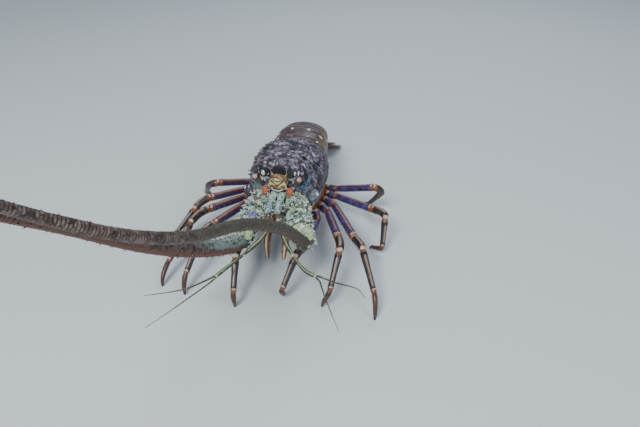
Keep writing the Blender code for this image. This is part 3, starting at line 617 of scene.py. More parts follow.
@dataclass(frozen=True)
class Finish:
    """One procedural material: a ground colour, its mottling, painted layers, gloss and relief."""

    name: str
    slot: str
    ground: Colour
    mottles: tuple[Mottle, ...] = ()
    layers: tuple[Layer, ...] = ()
    bumps: tuple[Bump, ...] = (Bump(Grain.CLOUDS, 1.2, 0.12),)
    rough: tuple[float, float] = (0.4, 0.62)
    coat: float = 0.0

    def material(self) -> bpy.types.Material:
        """The material, made once and shared by every piece that takes this finish."""
        found = bpy.data.materials.get(self.name)
        if found is not None:
            return found
        made = bpy.data.materials.new(self.name)
        made.use_nodes = True
        sheet = Sheet(made.node_tree)
        shader = made.node_tree.nodes["Principled BSDF"]
        place = sheet.node("ShaderNodeTexCoord").outputs["Object"]
        colour: object = (*self.ground, 1.0)
        for mottle in self.mottles:
            pattern = self._grain(sheet, place, mottle.grain, mottle.size, mottle.stretch)
            low = self._level(mottle.grain, mottle.share)
            soft = mottle.soft * 0.5
            mask = self._climb(sheet, pattern, low - soft, low + soft)
            if mottle.under:
                mask = sheet.sum("MULTIPLY", mask, self._painted(sheet, mottle.under))
            colour = self._over(sheet, mask, colour, mottle.colour)
        for layer in self.layers:
            rag = self._grain(sheet, place, Grain.CLOUDS, layer.size)
            rag = sheet.sum("MULTIPLY_ADD", rag, layer.ragged, -layer.ragged / 2)
            value = sheet.sum("ADD", self._painted(sheet, layer.paint), rag)
            mask = self._climb(sheet, value, layer.level - layer.soft, layer.level + layer.soft)
            mask = sheet.sum("MULTIPLY", mask, layer.strength)
            colour = self._over(sheet, mask, colour, layer.colour)
        if isinstance(colour, bpy.types.NodeSocket):
            sheet.tree.links.new(colour, shader.inputs["Base Color"])
        else:
            shader.inputs["Base Color"].default_value = colour
        gloss = self._grain(sheet, place, Grain.CLOUDS, 3.0)
        smooth, matt = self.rough
        gloss = sheet.out("ShaderNodeMapRange", {0: gloss, 1: 0.25, 2: 0.75, 3: smooth, 4: matt})
        sheet.tree.links.new(gloss, shader.inputs["Roughness"])
        shader.inputs["Coat Weight"].default_value = self.coat
        shader.inputs["Coat Roughness"].default_value = 0.25
        normal = None
        for bump in self.bumps:
            pattern = self._grain(sheet, place, bump.grain, bump.size)
            inputs = {"Height": pattern, "Distance": bump.height * MM, "Strength": 1.0}
            if normal is not None:
                inputs["Normal"] = normal
            normal = sheet.out("ShaderNodeBump", inputs)
        if normal is not None:
            sheet.tree.links.new(normal, shader.inputs["Normal"])
        return made

    @staticmethod
    def _level(grain: Grain, share: float) -> float:
        """The value that about this share of a pattern stands above."""
        if grain is Grain.CLOUDS:
            return 0.5 + (0.5 - share) * 0.33
        return 1 - share * (0.9 if grain is Grain.CELLS else 0.3)

    @staticmethod
    def _painted(sheet: Sheet, name: str) -> bpy.types.NodeSocket:
        """The value painted on the surface under a name."""
        return sheet.node("ShaderNodeAttribute", attribute_name=name).outputs["Fac"]

    @staticmethod
    def _climb(sheet: Sheet, value: bpy.types.NodeSocket, low: float, high: float) -> bpy.types.NodeSocket:
        """0 below low and 1 above high."""
        return sheet.out("ShaderNodeMapRange", {0: value, 1: low, 2: high}, interpolation_type="SMOOTHSTEP")

    @staticmethod
    def _over(sheet: Sheet, mask: bpy.types.NodeSocket, below: object,
              colour: Colour) -> bpy.types.NodeSocket:
        """A colour laid over another by a mask."""
        made = sheet.node("ShaderNodeMix", {0: mask, 6: below, 7: (*colour, 1.0)}, data_type="RGBA")
        return made.outputs[2]

    @staticmethod
    def _grain(sheet: Sheet, place: bpy.types.NodeSocket, grain: Grain, size: float,
               stretch: Triple = EVEN) -> bpy.types.NodeSocket:
        """A pattern from 0 to 1.

        Args:
            sheet: The material's tree.
            place: The coordinates that it follows.
            grain: Which pattern.
            size: The size of its forms, in millimetres.
            stretch: How much smaller its forms are along each axis.

        Returns:
            The pattern's value.
        """
        if stretch != EVEN:
            place = sheet.out("ShaderNodeMapping", {"Vector": place, "Scale": stretch})
        scale = 1 / (size * MM)
        if grain is Grain.CLOUDS:
            return sheet.out("ShaderNodeTexNoise", {
                "Vector": place, "Scale": scale / 1.6, "Detail": 3.0, "Roughness": 0.55})
        feature = "F1" if grain is Grain.CELLS else "DISTANCE_TO_EDGE"
        cells = sheet.node("ShaderNodeTexVoronoi", {"Vector": place, "Scale": scale}, feature=feature)
        return sheet.sum("SUBTRACT", 1.0, cells.outputs["Distance"])


BLACK = (0.012, 0.012, 0.016)

CARAPACE = Finish(
    "carapace_mottle", "shell_grey", (0.15, 0.135, 0.185),
    mottles=(
        Mottle((0.27, 0.25, 0.315), 12.0, 0.44, soft=0.06, stretch=(0.8, 1.4, 1.0)),
        Mottle((0.060, 0.046, 0.080), 9.0, 0.36, soft=0.05),
        Mottle((0.018, 0.012, 0.026), 9.0, 0.27, soft=0.04, stretch=(0.7, 1.6, 1.0)),
        Mottle((0.030, 0.022, 0.042), 8.0, 0.22, Grain.VEINS, soft=0.05),
        Mottle((0.40, 0.375, 0.44), 3.0, 0.14, soft=0.04),
        # Painted shade: a darker grey-green mottle over the lower sides, where the flank value climbs.
        Mottle((0.07, 0.08, 0.07), 5.0, 0.55, soft=0.2, under="flank"),
    ),
    layers=(
        Layer("groove", (0.02, 0.014, 0.028), level=0.55, soft=0.25, ragged=0.5, strength=0.85),
        Layer("olive", (0.12, 0.09, 0.035), level=0.6, ragged=0.6),
        Layer("rim", (0.36, 0.32, 0.29), ragged=0.4, strength=0.8),
        Layer("blue", (0.11, 0.20, 0.34), level=0.6, soft=0.08, ragged=3.0, size=2.4, strength=0.8),
        Layer("teal", (0.11, 0.20, 0.20), level=0.6, soft=0.08, ragged=3.0, size=2.4, strength=0.8),
        # dark: the shell's own dark blotches on top, and painted shadow on and near the front face, between
        # the horns and round the roots of the horns and eyestalks.
        Layer("dark", BLACK, level=0.45, ragged=0.6, size=1.8),
        Layer("boss", (0.12, 0.165, 0.21), ragged=2.2, size=2.2, strength=0.65),
        Layer("cream", (0.56, 0.48, 0.33), ragged=0.3, size=1.4),
        Layer("white", (0.70, 0.74, 0.76), ragged=0.2, size=1.5),
        Layer("belly", (0.36, 0.28, 0.21), ragged=0.4),
    ),
    bumps=(Bump(Grain.CELLS, 2.2, 0.35), Bump(Grain.CLOUDS, 0.9, 0.2)), rough=(0.48, 0.75),
)
SHELL_SPINE = Finish(
    "shell_spine", "shell_grey", (0.045, 0.034, 0.055),
    mottles=(Mottle((0.13, 0.115, 0.15), 1.6, 0.4),),
    layers=(Layer("tip", (0.17, 0.12, 0.10), level=0.6, ragged=0.15),
            Layer("tip", (0.34, 0.29, 0.25), level=0.86, soft=0.1, ragged=0.1)),
    bumps=(Bump(Grain.CLOUDS, 0.6, 0.06),), rough=(0.35, 0.5),
)
ABDOMEN = Finish(
    "abdomen_mottle", "tail_maroon", (0.055, 0.029, 0.037),
    mottles=(
        Mottle((0.020, 0.011, 0.015), 5.0, 0.40, soft=0.1, stretch=(0.6, 1.6, 1.0)),
        Mottle((0.15, 0.105, 0.11), 2.4, 0.24, soft=0.05, stretch=(0.35, 2.4, 1.4)),
    ),
    layers=(
        Layer("olive", (0.11, 0.085, 0.035), level=0.6, ragged=0.6),
        Layer("lines", (0.24, 0.175, 0.165), level=0.55, soft=0.2, ragged=0.5, size=1.5, strength=0.8),
        Layer("seam", (0.016, 0.008, 0.011), soft=0.2, ragged=0.2),
        Layer("spot_edge", (0.016, 0.008, 0.011), soft=0.1, ragged=0.15),
        Layer("spot", (0.66, 0.60, 0.50), soft=0.08, ragged=0.15, size=1.0),
        Layer("belly", (0.36, 0.26, 0.18), soft=0.15, ragged=0.4),
    ),
    bumps=(Bump(Grain.CLOUDS, 0.8, 0.12), Bump(Grain.CELLS, 1.4, 0.15)), rough=(0.3, 0.52), coat=0.2,
)
TAIL_FAN = Finish(
    "tail_fan_bands", "tail_maroon", (0.12, 0.048, 0.026),
    mottles=(
        Mottle((0.26, 0.13, 0.045), 3.0, 0.4, soft=0.1, stretch=(1.8, 0.6, 1.0)),
        Mottle((0.035, 0.014, 0.016), 2.0, 0.35, stretch=(2.0, 0.5, 1.0)),
    ),
    layers=(
        Layer("band", (0.035, 0.014, 0.018), soft=0.2, ragged=0.3),
        Layer("hem", (0.50, 0.33, 0.15), soft=0.15, ragged=0.3),
    ),
    bumps=(Bump(Grain.CLOUDS, 0.8, 0.12),), rough=(0.35, 0.6), coat=0.15,
)
HORN = Finish(
    "horn_black_white", "horn_black", (0.012, 0.015, 0.017),
    mottles=(Mottle((0.035, 0.055, 0.055), 2.2, 0.3), Mottle((0.14, 0.12, 0.09), 1.4, 0.12, soft=0.04)),
    layers=(
        Layer("teal", (0.05, 0.11, 0.11), ragged=0.5, size=2.0),
        Layer("white", (0.90, 0.93, 0.91), soft=0.06, ragged=0.3, size=1.6),
    ),
    bumps=(Bump(Grain.CLOUDS, 0.9, 0.12),), rough=(0.28, 0.45), coat=0.2,
)
STALK = Finish(
    "eyestalk_dark", "horn_black", (0.035, 0.027, 0.03),
    mottles=(Mottle((0.22, 0.15, 0.11), 1.5, 0.35), Mottle((0.5, 0.42, 0.34), 1.0, 0.16)),
    layers=(Layer("white", (0.74, 0.78, 0.76), soft=0.08, ragged=0.7, size=2.2),),
    rough=(0.3, 0.5),
)
EYE = Finish(
    "eye_glass", "eye_dark", (0.03, 0.015, 0.012),
    # Painted reflection: a pinkish-tan patch on the side of the eye that faces the camera.
    layers=(Layer("iris", (0.42, 0.26, 0.22), soft=0.22, ragged=0.1),),
    bumps=(Bump(Grain.CELLS, 0.28, 0.02),), rough=(0.06, 0.14), coat=0.8,
)
FACE = Finish(
    "face_bars", "face_cream", (0.24, 0.13, 0.055),
    mottles=(Mottle((0.46, 0.40, 0.25), 2.4, 0.4), Mottle((0.08, 0.045, 0.025), 1.8, 0.28)),
    layers=(
        Layer("orange", (0.40, 0.13, 0.05), ragged=0.4, size=1.5),
        Layer("bars", (0.50, 0.50, 0.20), ragged=0.8, size=1.6),
        Layer("brown", (0.045, 0.022, 0.014), level=0.42, ragged=0.3, size=1.2),
        Layer("black", BLACK, ragged=0.2, size=1.0),
        Layer("cream", (0.66, 0.56, 0.38), ragged=0.8, size=1.4),
        Layer("white", (0.80, 0.80, 0.74), ragged=0.2, size=1.2),
        Layer("tip", (0.75, 0.70, 0.5), level=0.7),
    ),
    bumps=(Bump(Grain.CLOUDS, 0.8, 0.12),), rough=(0.34, 0.52), coat=0.1,
)
PEDUNCLE = Finish(
    "antenna_base_mottle", "antenna_teal", (0.17, 0.25, 0.24),
    mottles=(
        Mottle((0.46, 0.64, 0.60), 7.0, 0.42, soft=0.05),
        Mottle((0.15, 0.23, 0.36), 7.5, 0.32, soft=0.05),
        Mottle((0.022, 0.030, 0.028), 5.5, 0.34, soft=0.04),
        Mottle((0.74, 0.86, 0.76), 3.6, 0.26, soft=0.04),
        Mottle((0.26, 0.17, 0.085), 4.4, 0.18, soft=0.04),
        Mottle((0.030, 0.040, 0.036), 8.0, 0.20, Grain.VEINS, soft=0.05),
    ),
    layers=(
        Layer("joint", (0.075, 0.066, 0.052), level=0.6, soft=0.2, ragged=0.9),
        Layer("lime", (0.50, 0.64, 0.32), soft=0.06, ragged=1.8, size=3.4),
        Layer("violet", (0.15, 0.16, 0.36), ragged=0.5, size=2.5),
        Layer("cyan", (0.40, 0.62, 0.64), ragged=0.4, size=2.5),
        Layer("umber", (0.13, 0.085, 0.06), ragged=0.5, size=2.5),
        Layer("dark", (0.02, 0.024, 0.022), ragged=0.5, size=2.0),
        Layer("tan", (0.46, 0.30, 0.15), ragged=0.4, size=1.6),
        Layer("orange", (0.40, 0.105, 0.040), level=0.62, soft=0.1, ragged=2.6, size=2.6),
        Layer("white", (0.84, 0.90, 0.88), ragged=0.6, size=1.6),
    ),
    bumps=(Bump(Grain.CELLS, 1.8, 0.35), Bump(Grain.CLOUDS, 0.9, 0.18)), rough=(0.45, 0.7),
)
PEDUNCLE_SPINE = Finish(
    "antenna_spine", "antenna_teal", (0.26, 0.36, 0.33),
    mottles=(Mottle((0.050, 0.056, 0.046), 4.0, 0.35), Mottle((0.20, 0.28, 0.40), 6.0, 0.3)),
    layers=(Layer("tip", (0.60, 0.74, 0.64), level=0.42, soft=0.2, ragged=0.5),
            Layer("tip", (0.82, 0.84, 0.76), level=0.78, ragged=0.1)),
    bumps=(Bump(Grain.CLOUDS, 0.6, 0.06),), rough=(0.35, 0.5),
)
WHIP = Finish(
    "whip_bands", "antenna_teal", (0.10, 0.062, 0.05),
    mottles=(
        Mottle((0.19, 0.14, 0.12), 2.6, 0.40, soft=0.05),
        Mottle((0.030, 0.019, 0.016), 3.0, 0.36, soft=0.04),
    ),
    layers=(
        Layer("green", (0.066, 0.060, 0.042), soft=0.3, ragged=0.9, size=4.0, strength=0.85),
        Layer("mint", (0.25, 0.37, 0.36), soft=0.25, ragged=1.6, size=3.5),
        Layer("mint", (0.44, 0.58, 0.54), level=0.98, soft=0.06, ragged=1.2, size=2.4),
        Layer("mint", (0.045, 0.032, 0.026), level=1.0, soft=0.06, ragged=1.4, size=2.0),
        Layer("rust", (0.16, 0.055, 0.03), soft=0.3, ragged=0.6, size=4.0),
        Layer("ring", (0.02, 0.013, 0.012), level=0.6, soft=0.2, ragged=0.2),
    ),
    bumps=(Bump(Grain.CLOUDS, 0.7, 0.1),), rough=(0.45, 0.65),
)
WHIP_SPINE = Finish(
    "whip_spine", "antenna_teal", (0.05, 0.036, 0.03),
    layers=(Layer("tip", (0.34, 0.34, 0.31), level=0.6, soft=0.2, ragged=0.1),),
    bumps=(), rough=(0.4, 0.5),
)
ANTENNULE = Finish(
    "antennule_stripes", "antennule_green", (0.040, 0.046, 0.022),
    mottles=(Mottle((0.10, 0.125, 0.06), 2.0, 0.4), Mottle((0.018, 0.020, 0.012), 1.6, 0.3)),
    layers=(
        Layer("umber", (0.12, 0.055, 0.027), level=0.6, soft=0.2, ragged=1.6),
        Layer("blue", (0.22, 0.34, 0.42), level=0.62, soft=0.1, ragged=3.0, size=3.2),
        Layer("blue", (0.60, 0.74, 0.70), level=1.15, soft=0.1, ragged=3.0, size=2.6),
        Layer("root", (0.36, 0.53, 0.50), level=0.62, soft=0.1, ragged=3.0, size=3.4),
        Layer("root", (0.64, 0.78, 0.72), level=1.15, soft=0.1, ragged=3.0, size=2.8),
        Layer("stripe", (0.42, 0.50, 0.24), ragged=0.2, size=1.5),
        Layer("node", (0.42, 0.44, 0.30), soft=0.2, ragged=0.3, size=1.2),
        Layer("rings", (0.012, 0.014, 0.008), level=0.6, soft=0.2, ragged=0.1),
    ),
    bumps=(Bump(Grain.CLOUDS, 0.7, 0.06),), rough=(0.34, 0.52), coat=0.1,
)
MERUS = Finish(
    "upper_leg_violet", "leg_violet", (0.042, 0.030, 0.125),
    mottles=(
        Mottle((0.068, 0.060, 0.21), 4.0, 0.42),
        Mottle((0.020, 0.012, 0.042), 3.0, 0.34),
    ),
    layers=(
        Layer("rust", (0.115, 0.034, 0.030), soft=0.25, ragged=0.5),
        Layer("pale_line", (0.27, 0.14, 0.10), soft=0.15, ragged=0.7, size=2.2, strength=0.7),
        Layer("low_line", (0.10, 0.036, 0.032), soft=0.2, ragged=0.4),
        Layer("joint", (0.19, 0.062, 0.028), soft=0.25, ragged=0.7),
        Layer("joint_cream", (0.50, 0.40, 0.30), soft=0.1, ragged=1.6, size=1.8),
        Layer("tip", (0.58, 0.40, 0.26), level=0.6),
    ),
    bumps=(Bump(Grain.CLOUDS, 0.9, 0.1),), rough=(0.28, 0.46), coat=0.25,
)
SHANK = Finish(
    "lower_leg_stripes", "leg_brown", (0.024, 0.015, 0.016),
    mottles=(Mottle((0.058, 0.038, 0.038), 3.0, 0.4), Mottle((0.010, 0.006, 0.008), 2.2, 0.3)),
    layers=(
        Layer("blue", (0.040, 0.044, 0.075), soft=0.25, ragged=0.8, strength=0.45),
        Layer("pale_line", (0.27, 0.185, 0.13), soft=0.16, ragged=0.7, size=2.2),
        Layer("joint", (0.19, 0.062, 0.028), soft=0.25, ragged=0.7),
        Layer("joint_cream", (0.50, 0.41, 0.31), level=0.55, soft=0.1, ragged=1.6, size=1.8),
        Layer("claw", (0.075, 0.032, 0.022), soft=0.2, ragged=0.3),
        Layer("nail", (0.014, 0.009, 0.008), soft=0.15, ragged=0.1),
    ),
    bumps=(Bump(Grain.CLOUDS, 0.8, 0.1),), rough=(0.3, 0.5), coat=0.2,
)
BELLY = Finish(
    "belly_mottle", "belly_tan", (0.30, 0.22, 0.15),
    mottles=(
        Mottle((0.44, 0.36, 0.26), 5.0, 0.4),
        Mottle((0.16, 0.08, 0.05), 2.6, 0.32),
        Mottle((0.07, 0.04, 0.07), 3.6, 0.26),
    ),
    layers=(Layer("seam", (0.07, 0.04, 0.035), soft=0.2, ragged=0.2),
            Layer("joint", (0.30, 0.095, 0.04), soft=0.2, ragged=0.4),
            Layer("joint_cream", (0.62, 0.56, 0.46), ragged=0.4)),
    bumps=(Bump(Grain.CLOUDS, 1.4, 0.15),), rough=(0.4, 0.6),
)
MOUTH = Finish(
    "mouthpart_stripes", "leg_brown", (0.22, 0.085, 0.032),
    mottles=(Mottle((0.08, 0.034, 0.02), 2.4, 0.35), Mottle((0.36, 0.19, 0.08), 1.8, 0.3)),
    layers=(Layer("pale_line", (0.62, 0.50, 0.34), ragged=0.2, size=1.6),
            Layer("tip", (0.30, 0.20, 0.12), level=0.2)),
    bumps=(Bump(Grain.CLOUDS, 0.8, 0.1),), rough=(0.34, 0.52), coat=0.1,
)
BRISTLE = Finish(
    "bristle_brown", "leg_brown", (0.075, 0.046, 0.03),
    layers=(Layer("tip", (0.30, 0.22, 0.15), level=0.6, soft=0.3, ragged=0.1),),
    bumps=(), rough=(0.5, 0.65),
)


# The bench

def placed(name: str, data: bpy.types.ID) -> bpy.types.Object:
    """A new object in the scene."""
    made = bpy.data.objects.new(name, data)
    bpy.context.scene.collection.objects.link(made)
    return made


@dataclass(frozen=True)
class Strewing:
    """How bristles or tubercles are strewn over the painted part of a shell, in millimetres."""

    density: float
    length: float
    radius: float
    lean: Triple = (0.0, 0.0, 0.0)
    spread: float = 0.35
    sides: int = 3
    rows: int = 2
    bend: float = 0.5
    seed: int = 3
    finish: Finish = BRISTLE


class Bench:
    """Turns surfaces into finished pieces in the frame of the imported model."""

    def __init__(self, front_y: float) -> None:
        """Finds where the animal's own frame sits.

        Args:
            front_y: The y of the carapace's front face in the animal's own frame.
        """
        low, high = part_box("carapace")
        self.shift = Vector(((low.x + high.x) / 2, low.y - front_y * MM, 0.0))
        self.growth = Growth()

    def piece(self, name: str, skin: Skin, finish: Finish, nodes: Iterable[str],
              roots: Roots | None = None, spine_finish: Finish | None = None, spine_sides: int = 8,
              spine_rows: int = 6, bend: float = 0.8,
              strewings: Iterable[Strewing] = ()) -> bpy.types.Object:
        """One finished piece that stands for its nodes.

        Args:
            name: The piece's name.
            skin: Its shell, painted with "strewn" where bristles grow.
            finish: The shell's finish.
            nodes: The nodes that it replaces.
            roots: Where its spines stand.
            spine_finish: The spines' finish, if it isn't the shell's.
            spine_sides: Points round a spine.
            spine_rows: Rings along a spine.
            bend: How far a spine's tip curls, in radii of its foot.
            strewings: The bristles and tubercles strewn over it.

        Returns:
            The object, riding on the animal's body.
        """
        made = self._cast(name, skin)
        made.data.materials.append(finish.material())
        helpers = []
        if roots is not None and roots.feet:
            helper = self._root_points(name + "_roots", roots)
            helpers.append(helper)
            self._grow(made, self.growth.spines, {
                "Roots": helper, "Sides": spine_sides, "Rows": spine_rows, "Bend": bend,
                "Finish": (spine_finish or finish).material()})
        for strewing in strewings:
            self._grow(made, self.growth.bristles, {
                "Density": strewing.density / MM**2, "Seed": strewing.seed, "Length": strewing.length * MM,
                "Radius": strewing.radius * MM, "Spread": strewing.spread, "Lean": strewing.lean,
                "Sides": strewing.sides, "Rows": strewing.rows, "Bend": strewing.bend,
                "Finish": strewing.finish.material()})
        if made.modifiers:
            graph = bpy.context.evaluated_depsgraph_get()
            plain = bpy.data.meshes.new_from_object(
                made.evaluated_get(graph), preserve_all_data_layers=True, depsgraph=graph)
            made.modifiers.clear()
            old, made.data = made.data, plain
            bpy.data.meshes.remove(old)
            plain.name = name
        if min(v.co.z for v in made.data.vertices) < 0:
            for vertex in made.data.vertices:
                vertex.co.z = max(vertex.co.z, 0.0)
        for helper in helpers:
            bpy.data.objects.remove(helper)
        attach(made, "root")
        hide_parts(*nodes)
        LOG.info("%s: %d faces", name, len(made.data.polygons))
        return made

    def _cast(self, name: str, skin: Skin) -> bpy.types.Object:
        """An object with the skin's mesh and its painted values, in the row frame."""
        mesh = bpy.data.meshes.new(name)
        mesh.from_pydata([p * MM + self.shift for p in skin.points], [], skin.faces)
        for paint, values in skin.paint.items():
            self._store(mesh, paint, values)
        if "tip" not in skin.paint:
            mesh.attributes.new("tip", "FLOAT", "POINT")
        mesh.shade_smooth()
        return placed(name, mesh)

    def _root_points(self, name: str, roots: Roots) -> bpy.types.Object:
        """An object whose points carry each spine's direction and size."""
        mesh = bpy.data.meshes.new(name)
        mesh.from_pydata([p * MM + self.shift for p in roots.feet], [], [])
        for label, vectors in (("facing", roots.facing), ("toward", roots.toward)):
            self._store(mesh, label, [c for v in vectors for c in v], "FLOAT_VECTOR")
        for label, index in (("length", 0), ("stout", 1)):
            self._store(mesh, label, [size[index] * MM for size in roots.sizes])
        return placed(name, mesh)

    @staticmethod
    def _store(mesh: bpy.types.Mesh, name: str, values: list[float], kind: str = "FLOAT") -> None:
        """Keeps one number, or a direction's three, on every point of a mesh."""
        layer = mesh.attributes.new(name, kind, "POINT")
        layer.data.foreach_set("value" if kind == "FLOAT" else "vector", values)

    @staticmethod
    def _grow(made: bpy.types.Object, tree: bpy.types.NodeTree, values: dict[str, object]) -> None:
        """Adds a tree to an object and sets its named inputs."""
        growth = made.modifiers.new(tree.name, "NODES")
        growth.node_group = tree
        for item in tree.interface.items_tree:
            if item.item_type == "SOCKET" and item.in_out == "INPUT" and item.name in values:
                growth[item.identifier] = values[item.name]


# Head and chest

@dataclass
class Carapace:
    """The shell over head and chest, with its rows of forward-leaning spines."""

    front_y: float = -52.0
    rear_y: float = 52.0
    stations: tuple[tuple[float, ...], ...] = (
        (-52.0, 33.5, 114.5, 47.0), (-47.0, 37.0, 117.0, 44.5), (-30.0, 42.5, 117.0, 42.0),
        (-12.0, 46.0, 116.0, 39.5), (4.0, 47.5, 114.0, 37.0), (22.0, 48.0, 110.5, 34.5),
        (38.0, 46.5, 104.5, 32.0), (48.0, 43.5, 98.5, 36.0), (52.0, 41.0, 95.5, 42.0))
    widest_share: float = 0.42
    belly: tuple[float, float] = (43.0, -0.13)
    groove: tuple[float, float, float, float] = (2.4, 4.5, 3.0, 30.0)
    rim: tuple[float, float, float] = (1.3, 2.2, 44.5)
    spine_rows: tuple[tuple[float, float, float, int, float, float], ...] = (
        (12.0, -40.0, -8.0, 4, 8.0, 5.5), (31.0, -39.0, -11.0, 4, 10.0, 6.5),
        (49.0, -38.0, -12.0, 4, 9.0, 6.0), (67.0, -39.0, -20.0, 3, 8.0, 5.5),
        (84.0, -30.0, -16.0, 2, 6.0, 5.0), (10.0, 12.0, 38.0, 4, 4.5, 3.5),
        (28.0, 10.0, 40.0, 4, 5.0, 4.0), (46.0, 6.0, 38.0, 4, 5.0, 4.0),
        (64.0, 0.0, 40.0, 5, 5.0, 4.0), (82.0, -8.0, 36.0, 5, 4.5, 3.5))
    spine_stoutness: float = 0.24
    spine_lean: float = 0.75
    spine_jitter: float = 0.12
    boss_middle: Triple = (39.0, -43.5, 72.5)
    boss_radius: float = 8.2
    spine_seed: int = 7
    thorn_seed: int = 21
    thorn_angles: tuple[int, int, int] = (8, 104, 11)
    thorn_places: tuple[float, float, int] = (-46.0, 7.8, 12)
    thorn_stray: tuple[float, float] = (3.4, 5.0)
    thorn_lengths: tuple[float, float] = (1.2, 2.6)
    thorn_scales: tuple[float, float] = (1.2, 0.85)
    thorn_stoutness: float = 0.4
    patches: dict[str, tuple[tuple[Triple, Triple], ...]] = field(default_factory=lambda: {
        # The dark patches on the top are the shell's own blotches. Those on and near the front face, between
        # the horns and round the roots of the horns and eyestalks, are painted shadow.
        "dark": (
            ((1.0, -52.0, 109.0), (8.0, 3.5, 8.5)), ((8.0, -11.0, 115.0), (4.8, 3.6, 4.0)),
            ((20.0, 10.0, 110.0), (5.0, 3.5, 4.0)), ((25.0, -22.0, 111.0), (4.0, 4.0, 4.0)),
            ((38.0, -21.0, 98.0), (4.0, 5.5, 5.5)), ((-12.0, -40.5, 116.0), (5.0, 2.6, 4.0)),
            ((-29.0, 4.0, 108.0), (6.0, 4.5, 4.5)), ((32.0, -46.0, 101.0), (6.0, 5.0, 4.0)),
            ((-20.0, -52.0, 106.0), (10.0, 3.0, 8.0)), ((20.0, -52.0, 106.0), (10.0, 3.0, 8.0)),
            ((-30.0, -50.0, 98.0), (6.0, 5.0, 6.0)), ((22.0, -52.0, 96.0), (7.0, 2.5, 5.0)),
            ((-22.0, -52.0, 96.0), (7.0, 2.5, 5.0))),
        "blue": (
            ((28.5, -51.0, 90.0), (6.0, 5.0, 6.5)), ((34.0, -43.0, 96.0), (4.0, 5.0, 5.0)),
            ((-34.0, -42.0, 92.0), (4.0, 5.0, 5.0))),
        "teal": (((-26.0, -51.0, 88.0), (6.0, 5.0, 6.0)), ((-30.0, -46.0, 80.0), (5.0, 5.0, 5.0))),
        "boss": (((41.0, -46.0, 72.0), (9.0, 9.0, 9.0)),),
        "white": (
            ((45.5, -46.5, 78.0), (2.2, 2.6, 2.6)), ((-45.5, -46.5, 78.0), (2.0, 2.4, 2.4)),
            ((23.5, -52.0, 108.0), (1.2, 3.0, 3.6)), ((-23.5, -52.0, 107.0), (1.2, 3.0, 3.0)),
            ((17.5, -52.0, 94.5), (1.8, 2.5, 1.6)), ((-17.5, -52.0, 94.5), (1.5, 2.5, 1.4)),
            ((17.0, -52.0, 98.6), (5.5, 2.5, 2.4)), ((-17.0, -52.0, 98.6), (5.5, 2.5, 2.4)))})
    rows: int = 112
    sides: int = 168

    def belly_z(self, y: float) -> float:
        """Height of the flat underside."""
        return self.belly[0] + self.belly[1] * y

    def point(self, y: float, angle: float) -> Vector:
        """A point on the shell.

        Args:
            y: Its place along the animal.
            angle: Degrees from the top towards the animal's left.

        Returns:
            The point.
        """
        half_width, top, bottom = between(self.stations, y)
        middle = bottom + self.widest_share * (top - bottom)
        turn = math.radians(angle)
        c, s = math.cos(turn), math.sin(turn)
        power = 2.25 if c > 0 else 2.6
        height = top - middle if c > 0 else middle - bottom
        x = squarer(s, power) * half_width
        z = squarer(c, power) * height
        around = abs((angle + 180) % 360 - 180)
        depth, half, groove_y, sweep = self.groove
        fade = min(max((115 - around) / 30, 0), 1)
        sunk = depth * fade * hump(y, groove_y - sweep * (around / 90) ** 1.6, half)
        sunk += self.rim[0] * fade * hump(y, self.rim[2], self.rim[1])
        reach = math.hypot(x, z)
        x, z = x * (1 - sunk / reach), z * (1 - sunk / reach)
        return Vector((x, y, max(middle + z, self.belly_z(y))))

    def normal(self, y: float, angle: float) -> Vector:
        """The outward direction of the shell."""
        along = self.point(y + 1.5, angle) - self.point(y - 1.5, angle)
        around = self.point(y, angle + 3) - self.point(y, angle - 3)
        return unit(around.cross(along))

    def shell(self) -> Skin:
        """The fine shell, with low knobs between its spines."""
        rings = []
        paint = {"flank": [], "groove": [], "rim": [], "strewn": [], "olive": []}
        for i in range(self.rows + 1):
            y = self.front_y + (self.rear_y - self.front_y) * i / self.rows
            ring = []
            values = {name: [] for name in paint}
            for j in range(self.sides):
                angle = -360 * j / self.sides
                around = abs((angle + 180) % 360 - 180)
                p = self.point(y, angle)
                fade = ease(115 - around, 0, 20) * ease(y - self.front_y, 0, 6) * ease(self.rear_y - y, 0, 6)
                knobs = max(noise.noise(p * 0.42), 0) * 1.3 + noise.noise(p * 0.12) * 0.6
                if fade > 0:
                    p = p + unit((p.x, 0, p.z - 70)) * knobs * fade
                ring.append(p)
                groove_y = self.groove[2] - self.groove[3] * (around / 90) ** 1.6
                # flank climbs from the top towards the lower sides, where the finish lays a painted-shade
                # mottle.
                values["flank"].append(ease(around, 62, 100))
                values["groove"].append(hump(y, groove_y, 3.2) * ease(118 - around, 0, 20))
                values["rim"].append(hump(y, self.rear_y - 2.4, 2.2) * ease(120 - around, 0, 30))
                values["strewn"].append(ease(112 - around, 0, 10) * ease(self.rear_y - 3 - y, 0, 4))
                values["olive"].append(hump(y, 42, 12) * hump(around, 66, 14) * 0.8)
            rings.append(ring)
            for name, row in values.items():
                paint[name].append(row)
        skin = loft(rings, paint, 0.2, 0.1, start_rows=36)
        for side in Side:
            skin.add(self.boss(side))
        skin.brush("belly", lambda p: ease(self.belly_z(p.y) + 1.4 - p.z, 0, 1))
        for name, places in self.patches.items():
            skin.dab(name, [Spot(*place) for place in places])
        return skin.brush("cream", self.crescent)

    @staticmethod
    def crescent(p: Vector) -> float:
        """How much of the cream curve between the horns a point of the front face takes."""
        low = 98.0 + 0.085 * (p.x - 1.0) ** 2
        return hump(p.z, min(low, 113.0), 1.5) * ease(-p.y, 50.0, 51.5) * ease(13.5 - abs(p.x), 0, 1.5)

    def boss(self, side: Side) -> Skin:
        """The rounded boss low on one front corner."""
        middle = Vector((side.value * self.boss_middle[0], *self.boss_middle[1:]))
        return knob(middle, self.boss_radius, self.boss_radius, 28, lambda far, angle: 1.3 * noise.noise(
            Vector((far * 0.5, angle * 2.5, side.value))))

